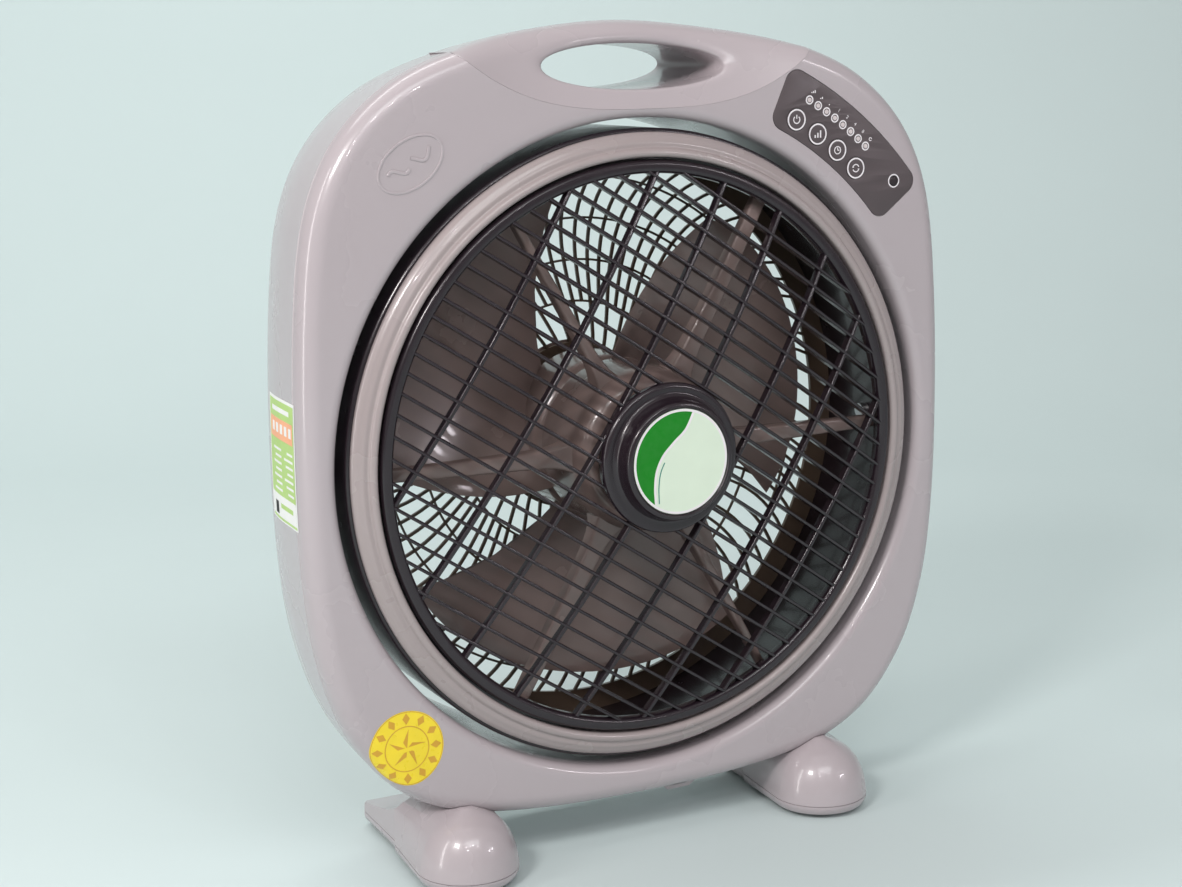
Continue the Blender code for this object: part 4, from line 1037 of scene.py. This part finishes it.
def skin_spot(x, z, lift):
    """The point of the face at (x, z), wrapped round its rounded edge as a film would lie, and lifted off."""
    radius, slant = outline_at(x, z)
    inset = (radius - hypot(x, z)) * slant
    if inset >= EDGE_INSET:
        return (x, -lift, z)
    edge = np.array(EDGE[::-1])
    lengths = np.r_[0, np.cumsum(np.linalg.norm(np.diff(edge, axis=0), axis=1))]
    along = EDGE_INSET - inset
    place, depth = (np.interp(along, lengths, edge[:, k]) for k in (0, 1))
    near = [np.interp(along + step, lengths, edge[:, k]) for step in (-0.5, 0.5) for k in (0, 1)]
    run = unit(np.array((near[2] - near[0], near[3] - near[1])))
    place += run[1] * -lift
    depth += run[0] * lift
    reach = (radius - place / slant) / hypot(x, z)
    return (x * reach, depth, z * reach)


def on_skin(name, polygons, lift, material, at):
    """Polygons of (x, z) points laid on the housing's face, cut fine enough to follow it."""
    shapes = []
    for polygon in polygons:
        centre = np.mean(polygon, axis=0)
        rings = []
        for share in (1.0, 0.75, 0.5, 0.25):
            ring = []
            for i, start in enumerate(polygon):
                end = polygon[(i + 1) % len(polygon)]
                for k in range(4):
                    spot = np.array(start) * (1 - k / 4) + np.array(end) * k / 4
                    x, z = centre + (spot - centre) * share + np.array(at)
                    ring.append(skin_spot(x, z, lift))
            rings.append(ring)
        shapes.append(grid(rings, close_v=True))
        shapes[-1][1].append(list(range(len(rings[0]) * 3, len(rings[0]) * 4)))
    return mesh_of(name, joined(shapes), material, weld=0.0001)


GOLD = look("sticker_yellow", (0.86, 0.66, 0.02), 0.30, spread=0.05, coat=0.3)
ORANGE = look("sticker_orange", (0.62, 0.33, 0.02), 0.32, spread=0.06, coat=0.3)
PALE_GREEN = look("label_pale_green", (0.66, 0.76, 0.62), 0.6, spread=0.02)
GREEN = look("label_green", (0.0, 0.20, 0.005), 0.75)
TEAL = look("label_teal", (0.02, 0.20, 0.16), 0.5)
TAG_WHITE = look("tag_white", (0.80, 0.80, 0.78), 0.5, spread=0.03)
TAG_GREEN = look("tag_green", (0.42, 0.60, 0.19), 0.5)
TAG_ORANGE = look("tag_orange", (0.84, 0.40, 0.22), 0.5)
STICKER_AT = (-176, -174)
STICKER_RADIUS = 25.0
OVAL_AT = (-161, 192)
OVAL_TILT = radians(32)
LABEL_Y = -42.75
LABEL_RADIUS = 34
LABEL_RIM = 32.4
# The edge of the label's green field, as (x, z) points from its top to its bottom
LABEL_WAVE = (
    (8.5, 31.3), (2.8, 20.9), (-5.7, 13.4), (-14.2, 4.5), (-18.4, -4.3), (-19.8, -14.4), (-19.3, -26),
)


def ring_cells(outer, inner, count):
    """A thin ring as a row of four-cornered cells."""
    cells = []
    for i in range(count):
        start, end = tau * i / count, tau * (i + 1) / count
        cells.append([polar(outer, start), polar(outer, end), polar(inner, end), polar(inner, start)])
    return cells


def sticker():
    """A round yellow sticker at the lower left, with a plain pattern of rings, kites and rays."""
    rings = []
    for share in np.linspace(1, 0.02, 16):
        loop = loop_of(STICKER_RADIUS * share, 96, STICKER_AT)
        rings.append([skin_spot(x, z, 0.12) for x, z in loop])
    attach(mesh_of("sticker_base", grid(rings, close_v=True), GOLD), "frame")
    marks = []
    for i in range(12):
        turn = tau * i / 12
        marks.append([polar(23.6, turn), polar(20, turn + 0.13), polar(16, turn), polar(20, turn - 0.13)])
    marks += ring_cells(24.6, 24.1, 48) + ring_cells(15.2, 14.5, 36)
    for i in range(5):
        turn = tau * i / 5 + 0.2
        marks.append([polar(13.2, turn), polar(5.2, turn + tau / 10), (0, 0)])
    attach(on_skin("sticker_marks", marks, 0.2, ORANGE, STICKER_AT), "frame")
    band = [[(-11, -3.4), (11, -0.4), (11, 2.4), (-11, -0.6)]]
    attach(on_skin("sticker_band", band, 0.28, GOLD, STICKER_AT), "frame")


def wall_patch(name, y0, y1, z0, z1, lift, material):
    """A thin patch on the left wall of the housing."""
    left = OUTLINE[OUTLINE[:, 0] < 0]
    left = left[np.argsort(left[:, 1])]
    rings = []
    for z in np.linspace(z0, z1, 12):
        x = float(np.interp(z, left[:, 1], left[:, 0])) - lift
        front = [(x + back_inset(y), y, z) for y in np.linspace(y0, y1, 10)]
        rings.append(front + [(px + 0.06, y, pz) for px, y, pz in reversed(front)])
    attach(mesh_of(name, capped(rings), material, weld=0.0001), "frame")


def side_label():
    """A rating tag with plain bars in place of its lines of print."""
    wall_patch("tag_base", 13, 72, -29, 50, 0.12, TAG_WHITE)
    wall_patch("tag_field", 15, 70, -12, 48, 0.2, TAG_GREEN)
    wall_patch("tag_band", 17, 68, 24, 37, 0.28, TAG_ORANGE)
    for k in range(5):
        wall_patch(f"tag_dot_{k + 1}", 20 + 9 * k, 25 + 9 * k, 28, 34, 0.36, TAG_WHITE)
    for row in range(7):
        level = -9 + 4.3 * row
        wall_patch(f"tag_line_{row + 1}", 18, 30 + 3 * (row % 3), level, level + 1.5, 0.28, TAG_WHITE)
        wall_patch(f"tag_entry_{row + 1}", 42, 60 - 4 * (row % 2), level, level + 1.5, 0.28, TAG_WHITE)
    wall_patch("tag_title", 24, 62, 41, 44, 0.28, TAG_WHITE)
    wall_patch("tag_code", 22, 48, -20, -17, 0.2, TAG_GREEN)
    wall_patch("tag_mark", 54, 62, -25, -17, 0.2, RUBBER)
    wall_patch("tag_foot", 15, 70, -28, -26.5, 0.2, TAG_GREEN)


def embossed_oval():
    """A raised oval rim at the upper left with two waves in it, in place of a badge."""
    loops = [loop_of(24, 72, OVAL_AT, 0.625, OVAL_TILT), loop_of(22.4, 72, OVAL_AT, 0.60, OVAL_TILT)]
    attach(flat("oval_rim", loops, -0.45, 0.1, GREY, bevel=0.2), "frame")
    parts = []
    for k, (start, end) in enumerate(((-16, -2), (2, 16))):
        wave = [(x, 3.2 * sin((x + 4 * k) * 0.35)) for x in np.linspace(start, end, 12)]
        path = [tilted(x, z, OVAL_TILT, OVAL_AT) for x, z in wave]
        parts.append(bar(path, [2.2] * 12, np.full(12, -0.45), np.full(12, 0.1), 0.4))
    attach(mesh_of("oval_waves", joined(parts), GREY, weld=0.0001), "frame")


def cap_label():
    """The round label on the cap: a green field with a wavy edge, a white line and a teal one beside it."""

    def layer(name, loops, lift, material):
        return flat(name, loops, LABEL_Y - lift, LABEL_Y - 0.04, material)

    base = flat("label_base", [loop_of(LABEL_RADIUS, 96)], LABEL_Y - 0.05, LABEL_Y + 0.25, PALE_GREEN)
    piece(base, "louver", "label_pale_green", "cap_label")
    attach(layer("label_rim", [loop_of(33.8, 96), loop_of(LABEL_RIM, 96)], 0.12, WHITE), "louver")
    edge = smooth_curve(LABEL_WAVE, 40)
    start, end = (atan2(z, x) for x, z in (LABEL_WAVE[0], LABEL_WAVE[-1]))
    end += tau
    arc = [polar(LABEL_RIM, end + (start - end) * k / 40) for k in range(1, 40)]
    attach(layer("label_green_field", [list(edge) + arc], 0.12, GREEN), "louver")
    side = left_of(edge)
    white = [*(edge + side * 0.3), *(edge + side * 1.7)[::-1]]
    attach(layer("label_white_line", [white], 0.14, WHITE), "louver")
    lower, aside = edge[22:], side[22:]
    fade = 0.8 * np.linspace(0, 1, len(lower))[:, None]
    teal = [*(lower + aside * (4.4 - fade)), *(lower + aside * (3.7 - fade))[::-1]]
    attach(layer("label_teal_line", [teal], 0.14, TEAL), "louver")


sticker()
side_label()
embossed_oval()
cap_label()


# ---- studio

CAMERA_TARGET = (-42.2, 0.0, 8.9)
CAMERA_DISTANCE = 1287.9
CAMERA_YAW = 0.47346
CAMERA_PITCH = 0.19464
CAMERA_ROLL = -0.01489
SENSOR = 36.0
LENS = 60.9137


def camera():
    """The camera in front of the fan, a little above it and to its left."""
    data = bpy.data.cameras.new("camera")
    obj = linked("camera", data)
    level = cos(CAMERA_PITCH)
    forward = Vector((sin(CAMERA_YAW) * level, cos(CAMERA_YAW) * level, -sin(CAMERA_PITCH)))
    target = Vector(placed(CAMERA_TARGET)[0])
    turn = forward.to_track_quat("-Z", "Y").to_matrix().to_4x4()
    roll = Matrix.Rotation(CAMERA_ROLL, 4, "Z")
    obj.matrix_world = Matrix.Translation(target - forward * CAMERA_DISTANCE * MM) @ turn @ roll
    data.sensor_width = SENSOR
    data.lens = LENS
    data.clip_start = 0.05
    data.clip_end = 50
    bpy.context.scene.camera = obj


def backdrop():
    """A floor that sweeps up into a wall behind, in one sheet."""
    near, depth, radius, height, half_width = -4.0, 2.6, 1.4, 3.2, 6.0
    profile = [(near, 0.0), (-1.0, 0.0), (0.0, 0.0), (depth - radius, 0.0)]
    for t in np.linspace(0, pi / 2, 24)[1:]:
        profile.append((depth - radius + radius * sin(t), radius - radius * cos(t)))
    profile.append((depth, height))
    made = bpy.data.meshes.new("backdrop")
    verts = [(x, y, z) for x in (-half_width, half_width) for y, z in profile]
    count = len(profile)
    made.from_pydata(verts, [], [(i, i + count, i + count + 1, i + 1) for i in range(count - 1)])
    obj = linked("backdrop", made)
    obj.rotation_euler.z = -CAMERA_YAW
    made.materials.append(look("backdrop_paper", (0.60, 0.69, 0.685), 0.8, spread=0.01, cloud=1.5))
    made.shade_smooth()


def softbox(name, at, aim, size, power, colour):
    """A rectangular lamp of size (width, height) at a point, facing another."""
    data = bpy.data.lights.new(name, "AREA")
    data.shape = "RECTANGLE"
    data.size, data.size_y = size
    data.energy = power
    data.color = colour
    obj = linked(name, data)
    obj.location = at
    obj.rotation_euler = (Vector(aim) - Vector(at)).to_track_quat("-Z", "Y").to_euler()


def studio():
    """A dim pale surround, a soft key light from the left and five small lamps for the round highlights."""
    world = bpy.data.worlds.new("studio")
    world.use_nodes = True
    background = world.node_tree.nodes["Background"]
    background.inputs["Color"].default_value = (1.0, 0.975, 0.975, 1)
    background.inputs["Strength"].default_value = 0.36
    bpy.context.scene.world = world
    middle = (0, 0, 0.25)
    warm = (1.0, 0.96, 0.955)
    cool = (0.95, 1.0, 0.99)
    softbox("key", (-1.7, -1.2, 1.7), (-0.15, 0, 0.3), (0.5, 0.4), 27, warm)
    softbox("right", (1.5, -2.0, 1.0), middle, (0.6, 0.08), 6, (1.0, 0.93, 0.99))
    softbox("top", (-0.3, 0.3, 2.6), middle, (2.2, 1.6), 5, warm)
    softbox("left_strip", (-2.0, -0.25, 0.75), middle, (0.18, 1.7), 10, warm)
    softbox("floor_fill", (-0.3, -2.4, 2.6), (0.0, -0.9, 0.0), (2.0, 0.8), 20, cool)
    softbox("wall_wash", (-0.6, 0.9, 2.8), (-0.6, 2.6, 1.0), (2.5, 0.8), 40, cool)
    for i, (x, z) in enumerate(((-1.05, 1.75), (-0.65, 1.9), (-0.25, 1.75), (-0.85, 1.35), (0.15, 1.45))):
        softbox(f"lamp_{i + 1}", (x, -2.0, z), middle, (0.07, 0.07), 1.8, (1.0, 0.93, 0.97))


camera()
backdrop()
studio()
bpy.context.scene.view_settings.view_transform = "Standard"
